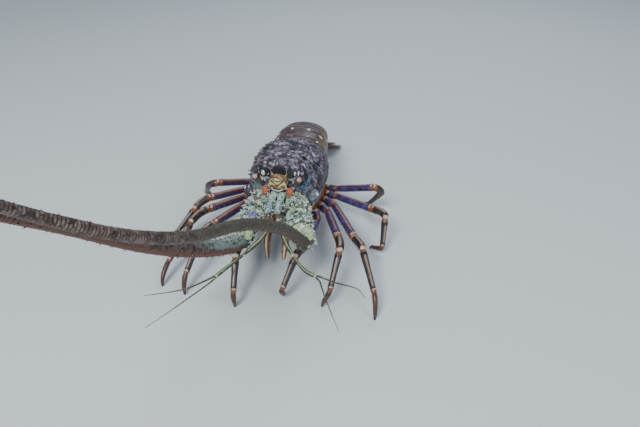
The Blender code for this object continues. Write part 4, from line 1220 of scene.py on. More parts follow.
    def spine_roots(self) -> Roots:
        """Where the large spines stand, in rows from front to back."""
        draw = random.Random(self.spine_seed)
        roots = Roots()
        for angle, first_y, last_y, count, first_length, last_length in self.spine_rows:
            for i in range(count):
                t = i / max(count - 1, 1)
                shift_y = draw.uniform(-1, 1) * self.spine_jitter * 10
                shift_angle = draw.uniform(-1, 1) * self.spine_jitter * 20
                length = (first_length + (last_length - first_length) * t) * draw.uniform(0.88, 1.12)
                for side in Side:
                    y = first_y + (last_y - first_y) * t + shift_y
                    at = side.value * (angle + shift_angle)
                    facing = self.normal(y, at) + FORWARD * self.spine_lean
                    roots.plant(self.point(y, at), facing, FORWARD, length, length * self.spine_stoutness)
        return roots

    def small_roots(self, roots: Roots) -> Roots:
        """Adds the low thorns that fill the rows between the large spines."""
        draw = random.Random(self.thorn_seed)
        start, pitch, count = self.thorn_places
        stray, turn = self.thorn_stray
        front, rear = self.thorn_scales
        for angle in range(*self.thorn_angles):
            for step in range(count):
                for side in Side:
                    y = start + step * pitch + draw.uniform(-stray, stray)
                    at = side.value * (angle + draw.uniform(-turn, turn))
                    length = draw.uniform(*self.thorn_lengths) * (front if y < 0 else rear)
                    facing = self.normal(y, at) + FORWARD * self.spine_lean
                    roots.plant(self.point(y, at), facing, FORWARD, length, length * self.thorn_stoutness)
        return roots

    def build(self, bench: Bench) -> None:
        """Makes the shell with its spines, thorns and short bristles."""
        hairs = Strewing(0.11, 1.3, 0.06, lean=(0.0, -1.2, 0.0), spread=0.5, seed=4)
        bench.piece("carapace_shell", self.shell(), CARAPACE, ["carapace"],
                    roots=self.small_roots(self.spine_roots()), spine_finish=SHELL_SPINE,
                    spine_sides=8, spine_rows=5, bend=0.5, strewings=[hairs])


@dataclass
class Head:
    """Horns, eyes and the plate between the antennae, on the front of the carapace."""

    front_y: float = -52.0
    horn_base: tuple[float, float] = (16.0, 106.5)
    horn_route: tuple[Triple, ...] = (
        (0.0, 0.0, 0.0), (-0.3, -6.5, 3.5), (0.2, -12.5, 10.0), (1.8, -17.0, 20.5))
    horn_half: tuple[float, float] = (6.8, 7.2)
    horn_marks: dict[Side, tuple[tuple[Triple, Triple], ...]] = field(default_factory=lambda: {
        Side.LEFT: (((18.5, -56.0, 102.5), (6.0, 6.5, 4.0)), ((11.8, -59.5, 112.5), (2.2, 4.5, 4.6)),
                    ((17.5, -63.0, 116.5), (1.2, 3.5, 3.0)), ((21.5, -59.0, 111.5), (1.8, 3.5, 2.6))),
        Side.RIGHT: (((-18.5, -56.0, 102.5), (6.0, 6.5, 4.0)), ((-14.5, -65.0, 114.5), (1.8, 4.5, 5.0)),
                     ((-21.5, -58.0, 110.0), (1.8, 3.5, 2.6)), ((-11.5, -58.0, 109.0), (1.6, 3.0, 2.6)))})
    eye_base: tuple[float, float] = (22.0, 96.5)
    eye_look: Triple = (0.40, -0.45, 0.80)
    stalk_radius: float = 4.0
    stalk_neck: float = 3.6
    stalk_length: float = 6.0
    stalk_waist: float = 0.86
    eye_radius: float = 4.2
    eye_stretch: float = 1.65
    eye_profile: tuple[tuple[float, float], ...] = (
        (0.0, 0.66), (0.1, 0.84), (0.28, 0.99), (0.5, 1.03), (0.7, 0.93), (0.86, 0.7), (0.97, 0.36))
    # The direction towards the camera, round which the eye's painted reflection is laid.
    eye_gaze: Triple = (0.15, -0.83, 0.53)
    plate_z: float = 95.5
    plate_half: tuple[float, float] = (11.5, 9.5)
    plate_depth: float = 10.0

    def on_front(self, side: Side, x: float, z: float) -> Vector:
        """A point just off the flat front of the head."""
        return Vector((side.value * x, self.front_y - GAP, z))

    def horn(self, bench: Bench, side: Side) -> None:
        """One of the two large horns over the eyes, black with white patches."""
        root = self.on_front(side, *self.horn_base)
        sign = side.value
        points = smooth_route([root + Vector((sign * x, y, z)) for x, y, z in self.horn_route], 12)
        stations = []
        for i, p in enumerate(points):
            left = 1 - i / (len(points) - 0.6)
            stations.append(Station(p, self.horn_half[0] * left**0.8, self.horn_half[1] * left**0.8))
        skin = tube(stations, 32, 0.6, first_normal=FORWARD, start_bulge=0.0, end_bulge=1.0,
                    relief=lambda far, angle: 0.35 * math.cos(3 * angle) * ease(far, 0, 4)
                    + 0.3 * lumps(far, angle, 0.5, 2))
        skin.dab("white", [Spot(*mark) for mark in self.horn_marks[side]])
        skin.dab("teal", [Spot((sign * 17.0, -60.0, 107.0), (4.0, 4.0, 3.0))])
        bench.piece(f"horn_{side.word}_shell", skin, HORN, [f"horn_{side.word}"])

    def eye(self, bench: Bench, side: Side) -> None:
        """An eyestalk and the glossy eye on its end, with a painted reflection on the side that faces the
        camera.
        """
        root = self.on_front(side, *self.eye_base)
        look = unit((side.value * self.eye_look[0], self.eye_look[1], self.eye_look[2]))
        neck = root + FORWARD * self.stalk_neck
        end = neck + look * self.stalk_length
        wide = self.stalk_radius
        stations = [Station(p, wide * swell, wide * swell)
                    for p, swell in ((root, 1), (neck, self.stalk_waist), (end, 1))]
        stalk = tube(stations, 28, 0.5, first_normal=FORWARD, last_normal=look,
                     relief=lambda far, angle: 0.25 * noise.noise(Vector((far, angle * 2, side.value))))
        stalk.stroke(white=lambda s, r, t, f: ease(t, -0.1, 0.5) * (1 - ease(s, 0.72, 0.85)))
        bench.piece(f"eyestalk_{side.word}_shell", stalk, STALK, [f"eyestalk_{side.word}"])
        start = end + look * GAP
        reach = self.eye_radius * self.eye_stretch
        stations = [Station(start + look * reach * s, self.eye_radius * w * 0.92, self.eye_radius * w)
                    for s, w in self.eye_profile]
        ball = tube(stations, 36, 0.35, first_normal=look, last_normal=look, end_bulge=0.75)
        # Paints a pinkish-tan reflection on the side of the eye that faces the camera.
        front = start + look * reach * 0.62
        reflection_way = unit(self.eye_gaze)
        ball.brush("iris", lambda p: ease(unit(p - front).dot(reflection_way), 0.35, 0.8))
        bench.piece(f"eye_{side.word}_ball", ball, EYE, [f"eye_{side.word}"])

    def plate(self, bench: Bench) -> None:
        """The plate between the antennae, barred in cream and brown, with its four spines."""
        stations = []
        for t in (0.0, 0.25, 0.5, 0.75, 1.0):
            shrink = 1 - 0.1 * t
            centre = Vector((0, self.front_y - GAP - self.plate_depth * t, self.plate_z - 1.2 * t))
            stations.append(Station(centre, self.plate_half[0] * shrink, self.plate_half[1] * shrink))
        skin = tube(stations, 56, 0.5, first_normal=FORWARD, last_normal=FORWARD, end_bulge=0.8,
                    end_rows=26)
        front = self.front_y - self.plate_depth
        for name, rule in self.plate_rules().items():
            skin.brush(name, lambda p: rule(p) * ease(-p.y, -front - 2.5, -front - 0.2))
        roots = Roots()
        for side in Side:
            sign = side.value
            upper = Vector((sign * 4.4, -60.5, self.plate_z + 5.2))
            lower = Vector((sign * 4.8, -61.0, self.plate_z - 3.6))
            roots.plant(upper, Vector((sign * 0.15, -1.0, 0.5)), UP, 8.5, 2.0)
            roots.plant(lower, Vector((sign * 0.3, -1.0, 0.1)), UP, 6.5, 1.8)
        bench.piece("antennular_plate_shell", skin, FACE, ["antennular_plate"], roots=roots, spine_sides=10,
                    bend=0.9)

    @staticmethod
    def plate_rules() -> dict[str, Callable[[Vector], float]]:
        """Each colour of the plate's front, by a rule on where a point of it is."""
        return {
            "orange": lambda p: ease(abs(p.x), 7.4, 8.6) * (1 - ease(p.z, 99, 101)),
            "bars": lambda p: ease(p.z, 95.5, 97) * (1 - ease(p.z, 101.5, 103)),
            "brown": lambda p: max(
                hump(p.z, 95.5 + 0.75 * abs(p.x), 0.9), hump(p.z, 89.5 + 0.06 * p.x**2, 0.9),
                hump(p.z, 100.5 + 0.3 * abs(p.x), 0.7)),
            "black": lambda p: max(hump(p.z, 86.3 + 0.06 * p.x**2, 0.8),
                                   ease(2.4 - abs(p.x), 0, 0.8) * (1 - ease(p.z, 86, 87.5))),
            "cream": lambda p: max(
                ease(p.z, 102, 103.2), hump(abs(p.x), 9.9, 0.6) * (1 - ease(p.z, 99, 101))),
            "white": lambda p: hump(p.z, 88.0 + 0.06 * p.x**2, 1.1) * ease(8.0 - abs(p.x), 0, 1)}

    def build(self, bench: Bench) -> None:
        """Makes the plate, both horns and both eyes."""
        self.plate(bench)
        for side in Side:
            self.horn(bench, side)
            self.eye(bench, side)


@dataclass
class Antennules:
    """The slender antennules: a jointed stem and two ringed whips on either side."""

    base: tuple[float, float] = (4.8, 81.6)
    stem_radii: tuple[float, ...] = (4.2, 4.1, 3.6, 3.2, 3.4, 2.2, 2.1, 2.3, 2.5, 1.7, 1.8, 2.1, 2.3)
    stems: dict[Side, tuple[Triple, ...]] = field(default_factory=lambda: {
        Side.LEFT: ((6.0, -88.0, 81.0), (12.0, -112.0, 80.0), (24.5, -135.5, 73.0), (46.0, -152.0, 53.0),
                    (61.0, -157.0, 49.0)),
        Side.RIGHT: ((-4.5, -88.0, 81.0), (-1.0, -108.0, 82.0), (2.5, -130.0, 79.0), (-12.8, -145.0, 66.0),
                     (-29.0, -155.5, 54.5), (-44.0, -171.0, 47.0))})
    whips: dict[Side, dict[str, tuple[Triple, ...]]] = field(default_factory=lambda: {
        Side.LEFT: {"outer": ((80.0, -158.5, 45.0), (105.7, -158.0, 38.0), (114.0, -162.0, 30.0)),
                    "inner": ((74.0, -178.0, 40.0), (92.0, -210.0, 30.0))},
        Side.RIGHT: {"outer": ((-72.0, -189.0, 42.0), (-116.0, -197.0, 33.0)),
                     "inner": ((-66.0, -198.0, 38.0), (-96.5, -234.0, 30.0))}})
    joint_shares: tuple[float, ...] = (0.42, 0.75, 1.0)
    ring_length: float = 1.3

    def build(self, bench: Bench, head: Head) -> None:
        """Makes both stems and the four whips."""
        for side in Side:
            root = head.on_front(side, *self.base)
            stem = smooth_route([root, *self.stems[side]], len(self.stem_radii))
            heading = unit(stem[-1] - stem[-2])
            skin = tube([Station(p, r, r) for p, r in zip(stem, self.stem_radii)], 24, 0.8,
                        first_normal=FORWARD, last_normal=heading)
            skin.stroke(
                stripe=lambda s, r, t, f: ease(t, 0.955, 0.995) * ease(s, 0.4, 0.46),
                node=lambda s, r, t, f: max(hump(s, joint, 0.014) for joint in self.joint_shares),
                root=lambda s, r, t, f: 1 - ease(s, 0.16, 0.24),
                blue=lambda s, r, t, f: within(s, 0.16, 0.22, 0.32, 0.37),
                umber=lambda s, r, t, f: within(s, 0.32, 0.38, 0.42, 0.48),
                strewn=lambda s, r, t, f: ease(t, -0.5, 0.1) * within(s, 0.04, 0.08, 0.34, 0.4))
            tufts = Strewing(0.075, 5.4, 1.15, lean=(0.0, -0.4, 0.1), spread=0.6, sides=6, rows=3, seed=12,
                             finish=PEDUNCLE_SPINE)
            bench.piece(f"antennule_{side.word}_stem", skin, ANTENNULE, [f"antennule_{side.word}_base"],
                        strewings=[tufts])
            route = self.whips[side]
            across = unit(Vector(route["outer"][-1]) - Vector(route["inner"][-1]))
            across = unit(across - heading * across.dot(heading))
            for name, hand, thick in (("outer", 1, 1.15), ("inner", -1, 1.0)):
                start = stem[-1] + heading * GAP + across * hand * 1.35
                lead = start + heading * 4.0 + across * hand * 0.8
                points = smooth_route([start, lead, *route[name]], 12)
                self.whip(bench, side, name, points, heading, thick)

    def whip(self, bench: Bench, side: Side, name: str, points: list[Vector], heading: Vector,
             thick: float) -> None:
        """One ringed whip of an antennule.

        Args:
            bench: Where it is finished.
            side: Its side.
            name: Which of the two it is.
            points: Its route.
            heading: The stem's direction where the whip leaves it.
            thick: Its radius at the stem.
        """
        stations = []
        for i, p in enumerate(points):
            radius = max(thick * (1 - i / 14), 0.3)
            stations.append(Station(p, radius, radius))
        skin = tube(stations, 10, self.ring_length / 3, first_normal=heading, end_bulge=0.5,
                    relief=lambda far, angle: 0.10 * abs(math.sin(math.pi * far / self.ring_length)) - 0.05)
        skin.stroke(
            rings=lambda s, r, t, f: 1 - abs(math.sin(math.pi * r / self.ring_length)),
            strewn=lambda s, r, t, f: ease(-t, 0.2, 0.8) * ease(s, 0.25, 0.4) if name == "outer" else 0.0)
        fringe = Strewing(1.6, 2.2, 0.05, lean=(0.0, 0.0, -0.6), spread=0.25, seed=9)
        bench.piece(f"antennule_{side.word}_{name}_whip", skin, ANTENNULE, [f"antennule_{side.word}_{name}"],
                    strewings=[fringe] if name == "outer" else [])


@dataclass
class Antennae:
    """The antennae: three stout spiny base segments and a long ringed whip on either side."""

    base: tuple[float, float] = (20.5, 69.0)
    halves: tuple[tuple[float, float], ...] = ((13.6, 13.2), (14.6, 13.2), (13.0, 11.8), (9.8, 9.2))
    joints: dict[Side, tuple[Triple, ...]] = field(default_factory=lambda: {
        Side.LEFT: ((26.5, -79.0, 68.0), (35.5, -107.0, 68.0), (44.0, -132.0, 73.0)),
        Side.RIGHT: ((-23.0, -80.0, 67.0), (-26.0, -109.0, 66.0), (-26.0, -136.0, 68.0))})
    routes: dict[Side, tuple[Triple, ...]] = field(default_factory=lambda: {
        Side.LEFT: ((33.0, -178.0, 126.0), (16.0, -230.0, 169.5), (-1.2, -286.5, 201.0),
                    (-19.0, -329.0, 235.0), (-42.0, -368.0, 279.5), (-50.0, -408.0, 330.0),
                    (-53.0, -446.0, 385.0)),
        Side.RIGHT: ((-27.5, -180.5, 98.0), (-33.0, -235.0, 142.0), (-39.0, -284.0, 188.0),
                     (-46.2, -337.0, 245.0), (-54.0, -372.0, 281.0), (-70.0, -418.0, 328.0),
                     (-92.0, -458.0, 370.0))})
    profile: tuple[tuple[float, float], ...] = (
        (0.0, 0.86), (0.22, 1.0), (0.52, 1.04), (0.84, 1.06), (1.0, 0.94))
    patches: dict[Side, tuple[tuple[str, int, Triple, Triple], ...]] = field(default_factory=lambda: {
        Side.LEFT: (
            ("cyan", 1, (18.0, -90.0, 75.0), (4.0, 6.0, 4.0)),
            ("tan", 0, (28.0, -62.6, 80.7), (3.5, 1.6, 3.0)),
            ("tan", 0, (27.0, -67.5, 80.5), (3.5, 1.4, 3.0)),
            ("white", 1, (30.0, -84.0, 81.0), (3.0, 2.2, 2.5)),
            ("dark", 0, (20.0, -74.0, 80.0), (4.0, 3.0, 3.0)),
            ("dark", 1, (26.0, -97.0, 81.0), (4.0, 2.5, 3.0)),
            ("umber", 1, (43.0, -90.0, 74.0), (3.5, 5.0, 4.0)),
            ("white", 2, (38.0, -112.0, 79.0), (3.5, 3.0, 2.5))),
        Side.RIGHT: (
            ("violet", 1, (-21.0, -99.0, 78.5), (5.0, 6.0, 4.0)),
            ("white", 1, (-13.5, -90.5, 74.6), (3.5, 3.5, 3.5)),
            ("umber", 0, (-21.6, -71.0, 81.5), (5.0, 4.0, 4.0)),
            ("cyan", 1, (-27.0, -88.0, 79.5), (4.0, 3.5, 3.0)),
            ("dark", 1, (-17.0, -82.0, 79.0), (3.5, 2.5, 3.0)),
            ("dark", 0, (-28.0, -61.0, 80.0), (4.0, 3.0, 3.0)),
            ("cyan", 2, (-24.0, -122.0, 78.0), (4.5, 4.0, 3.0)),
            ("tan", 2, (-32.0, -113.0, 76.0), (3.0, 3.0, 3.0)))})
    spine_places: tuple[tuple[int, int], ...] = ((1, 4), (2, 3), (3, 5))
    spine_sweep: tuple[float, float] = (-38.0, 122.0)
    lobe_middle: Triple = (14.8, -61.0, 85.5)
    lobe_half: tuple[float, float] = (4.6, 6.8)
    whip_bases: dict[Side, float] = field(default_factory=lambda: {Side.LEFT: 6.2, Side.RIGHT: 8.6})
    whip_tip: float = 0.7
    whip_taper: float = 0.7
    whip_rings: int = 10
    lengths: int = 3
    ring_length: float = 2.1
    whorl_step: int = 3
    whorl_spines: int = 7
    thorn_length: float = 4.2
    thorn_whip_radius: float = 7.4
    spine_seed: int = 11
    whorl_seed: int = 5

    def build(self, bench: Bench, head: Head) -> None:
        """Makes the six base segments and the two whips."""
        for side in Side:
            draw = random.Random(self.spine_seed)
            joints = [head.on_front(side, *self.base)] + [Vector(p) for p in self.joints[side]]
            headings = [FORWARD]
            for i in range(1, 3):
                headings.append(unit(unit(joints[i] - joints[i - 1]) + unit(joints[i + 1] - joints[i])))
            route = [joints[3]] + [Vector(p) for p in self.routes[side]]
            headings.append(unit(unit(joints[3] - joints[2]) + unit(route[1] - route[0])))
            for index in range(3):
                self.segment(bench, side, index, joints, headings, draw)
            self.whip(bench, side, route, headings[3])

    def segment(self, bench: Bench, side: Side, index: int, joints: list[Vector], headings: list[Vector],
                draw: random.Random) -> None:
        """One stout base segment with its spines.

        Args:
            bench: Where it is finished.
            side: Its side.
            index: Which of the three it is, counted from the head.
            joints: The middles of the joints.
            headings: The directions that the joints face.
            draw: The source of the spines' small differences.
        """
        start, end = joints[index] + headings[index] * (GAP if index else 0.0), joints[index + 1]
        near, far = self.halves[index], self.halves[index + 1]
        pull = (end - start).length
        stations = []
        for t, wide in self.profile:
            wide = 1.0 if t == 0.0 and index == 0 else wide
            half = [wide * (a + (b - a) * t) for a, b in zip(near, far)]
            centre = hermite(start, headings[index] * pull, end, headings[index + 1] * pull, t)
            stations.append(Station(centre, *half))
        skin = tube(stations, 60, 0.75, first_normal=headings[index], last_normal=headings[index + 1],
                    relief=lambda r, a: 0.9 * lumps(r, a, 0.35, 3, index) + 0.5 * lumps(r, a, 0.9, 7, index))
        skin.stroke(
            joint=lambda s, r, t, f: max(hump(s, 0.0, 0.06), hump(s, 1.0, 0.05)),
            lime=lambda s, r, t, f: 0.3 + 0.55 * ease(t, 0.0, 0.7) if index == 2 else 0.36,
            strewn=lambda s, r, t, f: ease(t, -0.9, -0.4) * ease(s, 0.05, 0.15))
        for name in ("violet", "cyan", "umber", "dark", "tan", "white"):
            skin.dab(name, [Spot(place, halves) for kind, part, place, halves in self.patches[side]
                            if kind == name and part == index])
        if index == 0:
            skin.add(self.lobe(side))
        roots = self.segment_roots(stations, draw, side)
        lean = tuple(unit(end - start) * 0.45)
        thorns = Strewing(0.018, 6.0, 1.25, lean=lean, spread=0.5, sides=7, rows=4, bend=0.5, seed=5 + index,
                          finish=PEDUNCLE_SPINE)
        knobs = Strewing(0.05, 3.0, 0.75, lean=lean, spread=0.5, sides=6, rows=3, bend=0.4, seed=35 + index,
                         finish=PEDUNCLE_SPINE)
        hairs = Strewing(0.09, 1.8, 0.06, lean=tuple(unit(end - start) * 0.8), spread=0.5, seed=15 + index)
        bench.piece(f"antenna_{side.word}_segment_{index + 1}", skin, PEDUNCLE,
                    [f"antenna_{side.word}_base_{index + 1}"], roots=roots, spine_finish=PEDUNCLE_SPINE,
                    bend=0.7, strewings=[thorns, knobs, hairs])

    def segment_roots(self, stations: list[Station], draw: random.Random, side: Side) -> Roots:
        """Where a base segment's large spines stand.

        Args:
            stations: The segment's cross-sections.
            draw: The source of the spines' small differences.
            side: Its side.

        Returns:
            The roots, on the upper and outer sides, leaning forward.
        """
        roots = Roots()
        for row, (place, count) in enumerate(self.spine_places):
            heading = unit(stations[place + 1].centre - stations[place - 1].centre)
            across, over = crosswise(heading)
            for k in range(count):
                low, high = self.spine_sweep
                turn = low + (high - low) * (k + 0.5) / count + (row - 1) * 6
                angle = math.radians(turn + draw.uniform(-5, 5))
                if side is Side.RIGHT:
                    angle = math.pi - angle
                out = across * math.cos(angle) + over * math.sin(angle)
                root = stations[place].centre + out * (stations[place].wide + stations[place].high) * 0.47
                roots.plant(root, out + heading * 0.8, heading, draw.uniform(5.5, 8.0), 1.9)
        return roots

    def radius(self, side: Side, share: float) -> float:
        """The whip's radius at a share of its length."""
        left = max(1 - share, 0.0) ** self.whip_taper
        return self.whip_tip + (self.whip_bases[side] - self.whip_tip) * left

    def lobe(self, side: Side) -> Skin:
        """The upright rounded lobe on the inner side of the first segment."""
        middle = Vector((side.value * self.lobe_middle[0], *self.lobe_middle[1:]))
        made = knob(middle, *self.lobe_half, 26, lambda far, angle: 0.7 * noise.noise(
            Vector((far * 0.4, angle * 2, side.value))))
        made.paint["orange"] = [1.0] * len(made.points)
        made.paint["strewn"] = [1.0] * len(made.points)
        return made

    def whip(self, bench: Bench, side: Side, route: list[Vector], first_heading: Vector) -> None:
        """The long whip in its three lengths, ringed and with whorls of short spines.

        Args:
            bench: Where it is finished.
            side: Its side.
            route: The points that it passes through.
            first_heading: Its direction where it leaves the base.
        """
        count = self.lengths * self.whip_rings + 1
        points = smooth_route(route, count)
        draw = random.Random(self.whorl_seed)
        total = sum((b - a).length for a, b in zip(points, points[1:]))
        for part in range(self.lengths):
            first, last = part * self.whip_rings, (part + 1) * self.whip_rings
            stretch = [p.copy() for p in points[first:last + 1]]
            start_normal = first_heading if part == 0 else unit(points[first + 1] - points[first - 1])
            end_normal = unit(points[min(last + 1, count - 1)] - points[last - 1])
            stations = []
            for i in range(first, last + 1):
                wide = self.radius(side, i / (count - 1))
                stations.append(Station(stretch[i - first], wide, wide))
            pitch = self.ring_length
            rise = 0.07 * stations[0].wide
            skin = tube(stations, 20, pitch / 3, first_normal=start_normal, last_normal=end_normal,
                        end_bulge=0.3 if part < self.lengths - 1 else 1.0,
                        relief=lambda r, a: rise * (r % pitch) / pitch - rise / 2)
            done = total * part / self.lengths
            if side is Side.RIGHT:
                skin.stroke(
                    mint=lambda s, r, t, f: 0.9 * (1 - ease(done + r, 45, 170)) * ease(t, -0.5, 0.3),
                    rust=lambda s, r, t, f: 0.35 + 0.5 * ease(-t, 0.0, 0.7))
            else:
                skin.stroke(
                    rust=lambda s, r, t, f: (0.35 + 0.5 * ease(-t, 0.0, 0.7)) * 0.5,
                    green=lambda s, r, t, f: 0.85 * (1 - ease(done + r, 150, 300)))
            skin.stroke(ring=lambda s, r, t, f: 1 - 2 * abs((r % pitch) / pitch - 0.5))
            roots = self.whorls(side, points[first:last + 1], first / (count - 1), last / (count - 1), draw)
            bench.piece(f"antenna_{side.word}_whip_{part + 1}_shell", skin, WHIP,
                        [f"antenna_{side.word}_whip_{part + 1}"], roots=roots, spine_finish=WHIP_SPINE,
                        spine_sides=5, spine_rows=3, bend=0.6)

    def whorls(self, side: Side, stretch: list[Vector], first: float, last: float,
               draw: random.Random) -> Roots:
        """Where the short spines of one length of whip stand.

        Args:
            side: Its side.
            stretch: The length's points.
            first: The share of the whole whip at its start.
            last: The share at its end.
            draw: The source of the spines' small differences.

        Returns:
            The roots, in whorls that thin out towards the tip.
        """
        roots = Roots()
        length = sum((b - a).length for a, b in zip(stretch, stretch[1:]))
        whorls = int(length / (self.ring_length * self.whorl_step))
        for k in range(whorls):
            place = (k + 0.5) / whorls * (len(stretch) - 1)
            i = int(place)
            at = stretch[i].lerp(stretch[i + 1], place - i)
            share = first + (last - first) * (k + 0.5) / whorls
            wide = self.radius(side, share)
            heading = unit(stretch[i + 1] - stretch[i])
            across, over = crosswise(heading)
            for n in range(self.whorl_spines):
                angle = 2 * math.pi * (n + 0.5 * (k % 2)) / self.whorl_spines + draw.uniform(-0.12, 0.12)
                out = across * math.cos(angle) + over * math.sin(angle)
                long = self.thorn_length * wide / self.thorn_whip_radius * draw.uniform(0.45, 1.0)
                if wide > 1.2:
                    roots.plant(at + out * wide * 0.96, out * 0.7 + heading, out, long, long * 0.22)
        return roots


# Chest and legs

@dataclass
class Legs:
    """The breastplate and the ten walking legs."""

    coxa_y: tuple[float, ...] = (-31.0, -14.5, 2.0, 18.5, 35.0)
    coxa_reach: tuple[float, ...] = (39.0, 43.0, 45.0, 45.5, 44.0)
    coxa_radius: float = 6.2
    coxa_drop: float = 7.2
    sternum_ends: tuple[float, float] = (-42.0, 46.0)
    sternum_depth: float = 13.0
    sternum_halves: tuple[float, float] = (13.5, 24.0)
    marks: dict[Side, tuple[tuple[tuple[float, ...], ...], ...]] = field(default_factory=lambda: {
        Side.LEFT: (((45.0, -46.0, 38.0), (37.0, -104.0, 41.0), (21.0, -143.0)),
                    ((55.0, -26.0, 37.0), (75.5, -87.0, 47.0), (67.0, -153.0)),
                    ((61.0, -9.0, 36.0), (93.0, -72.0, 37.0), (126.0, -163.0)),
                    ((62.0, 13.0, 35.0), (111.0, -21.0, 44.0), (113.0, -46.0)),
                    ((60.0, 33.0, 34.0), (110.0, 19.0, 50.0), (86.0, 44.0))),
        Side.RIGHT: (((-47.0, -47.0, 37.0), (-37.0, -112.0, 40.0), (-29.0, -168.0)),
                     ((-55.0, -26.0, 37.0), (-77.0, -82.0, 45.0), (-91.0, -159.0)),
                     ((-61.0, -9.0, 36.0), (-93.0, -54.0, 45.0), (-122.0, -150.0)),
                     ((-62.0, 13.0, 35.0), (-99.0, -31.0, 46.0), (-142.0, -92.0)),
                     ((-60.0, 33.0, 34.0), (-97.0, -1.0, 50.0), (-128.0, 38.0)))})
    lower_shares: tuple[float, float] = (0.22, 0.5)
    lower_lengths: tuple[float, ...] = (80.0, 91.0, 108.0, 80.0, 76.0)
    foot_radius: float = 1.3
    bow: float = 0.55

    def coxa_end(self, carapace: Carapace, side: Side, index: int) -> tuple[Vector, Vector]:
        """The middle of a coxa's flat end, where the leg begins, and the direction that it faces."""
        y = self.coxa_y[index]
        toward = Vector(self.marks[side][index][0])
        start = Vector((side.value * self.coxa_reach[index], y, carapace.belly_z(y) - self.coxa_drop))
        return start, unit(toward - start)

    def sternum(self, bench: Bench, carapace: Carapace) -> None:
        """The breastplate under the chest, with the coxae of all ten legs."""
        front, rear = self.sternum_ends
        rings = []
        seams = []
        steps = 88
        for i in range(steps + 1):
            t = i / steps
            y = front + (rear - front) * t
            half = self.sternum_halves[0] + (self.sternum_halves[1] - self.sternum_halves[0]) * t
            top = carapace.belly_z(y) - GAP
            seam = max(hump(y, c + 8.2, 0.9) for c in self.coxa_y)
            profile = [(half, 0.0), (half, -0.3), (half * 0.98, -0.6), (half * 0.72, -0.88),
                       (half * 0.5, -1.0), (half * 0.2, -0.96), (0.0, -0.9)]
            outline = profile + [(-x, z) for x, z in reversed(profile[:-1])]
            deep = self.sternum_depth - seam
            rings.append([Vector((x, y, top + z * deep)) for x, z in reversed(outline)])
            seams.append([seam] * len(outline))
        skin = loft(rings, {"seam": seams}, 0.3, 0.3)
        for side in Side:
            for index, y in enumerate(self.coxa_y):
                skin.add(self.coxa(carapace, side, index, y))
        bench.piece("sternum_shell", skin, BELLY, ["sternum"])

    def coxa(self, carapace: Carapace, side: Side, index: int, y: float) -> Skin:
        """One coxa, from inside the breastplate to the flat end that carries the leg.

        Args:
            carapace: The shell above it.
            side: Its side.
            index: Which leg it carries, counted from the head.
            y: Its place along the animal.

        Returns:
            Its surface.
        """
        end, heading = self.coxa_end(carapace, side, index)
        front, rear = self.sternum_ends
        share = (y - front) / (rear - front)
        inner = self.sternum_halves[0] * (1 - share) + self.sternum_halves[1] * share
        start = Vector((side.value * (inner - 7), y, end.z))
        wide = self.coxa_radius
        stations = [Station(start.lerp(end, at), wide * swell, wide * swell)
                    for at, swell in ((0.0, 0.9), (0.6, 1.0), (0.9, 1.04), (1.0, 0.94))]
        made = tube(stations, 32, 0.9, last_normal=heading)
        return made.stroke(
            joint=lambda s, r, t, f: hump(s, 0.97, 0.07),
            joint_cream=lambda s, r, t, f: 0.9 * hump(s, 0.84, 0.06) * ease(t, 0.0, 0.6))

    def upper(self, bench: Bench, carapace: Carapace, side: Side, index: int) -> None:
        """Ischium and merus of one leg, from the coxa to the knee."""
        start, heading = self.coxa_end(carapace, side, index)
        elbow, knee = (Vector(p) for p in self.marks[side][index][:2])
        start = start + heading * GAP
        merus = unit(knee - elbow)
        swell = 1.0 if index in (1, 2) else 0.94
        length = (knee - elbow).length
        table = [
            (start, 5.9 / swell), (start.lerp(elbow, 0.5), 5.6), (elbow - heading * 2.2 - merus * 0.6, 4.9),
            (elbow + merus * 0.8, 4.3), (elbow + merus * 4.5, 4.7), (elbow + merus * length * 0.4, 5.1),
            (elbow + merus * (length - 12), 5.0), (elbow + merus * (length - 5), 5.15),
            (elbow + merus * (length - 1.6), 5.2), (knee, 4.5)]
        stations = [Station(p, r * swell, r * swell) for p, r in table]
        skin = tube(stations, 28, 0.8, first_normal=heading, last_normal=merus,
                    relief=lambda r, a: 0.18 * lumps(r, a, 0.3, 2, index))
        total = max(skin.paint["reach"])
        bend = total - length
        rusty = 0.85 if side is Side.RIGHT else 0.45
        skin.stroke(
            pale_line=lambda s, r, t, f: (ease(t, 0.955, 0.995)
                                          * within(r, bend + 3, bend + 9, total - 12, total - 6)),
            low_line=lambda s, r, t, f: ease(-t, 0.5, 0.9),
            rust=lambda s, r, t, f: ease(t, 0.25, 0.8) * rusty,
            joint=lambda s, r, t, f: max(
                hump(r, total, 4.2), hump(r, bend, 3.4), 0.75 * (1 - ease(r, 3, 9))),
            joint_cream=lambda s, r, t, f: 0.72 * max(hump(r, total - 2.5, 2.0) * ease(t, 0.3, 0.9),
                                                      hump(r, 4.0, 2.4) * ease(t, 0.4, 0.9)))
        lift = unit(UP - merus * merus.z)
        out = unit(merus.cross(UP)) * side.value * -1
        roots = Roots()
        roots.plant(knee - merus * 5.0 + lift * 3.6, merus * 0.8 + lift, merus, 6.0, 1.6)
        roots.plant(knee - merus * 4.0 + out * 3.6, merus * 0.8 + out, merus, 5.0, 1.5)
        leg = f"leg_{side.word}_{index + 1}"
        bench.piece(f"{leg}_merus", skin, MERUS, [f"{leg}_upper"], roots=roots, bend=0.6)

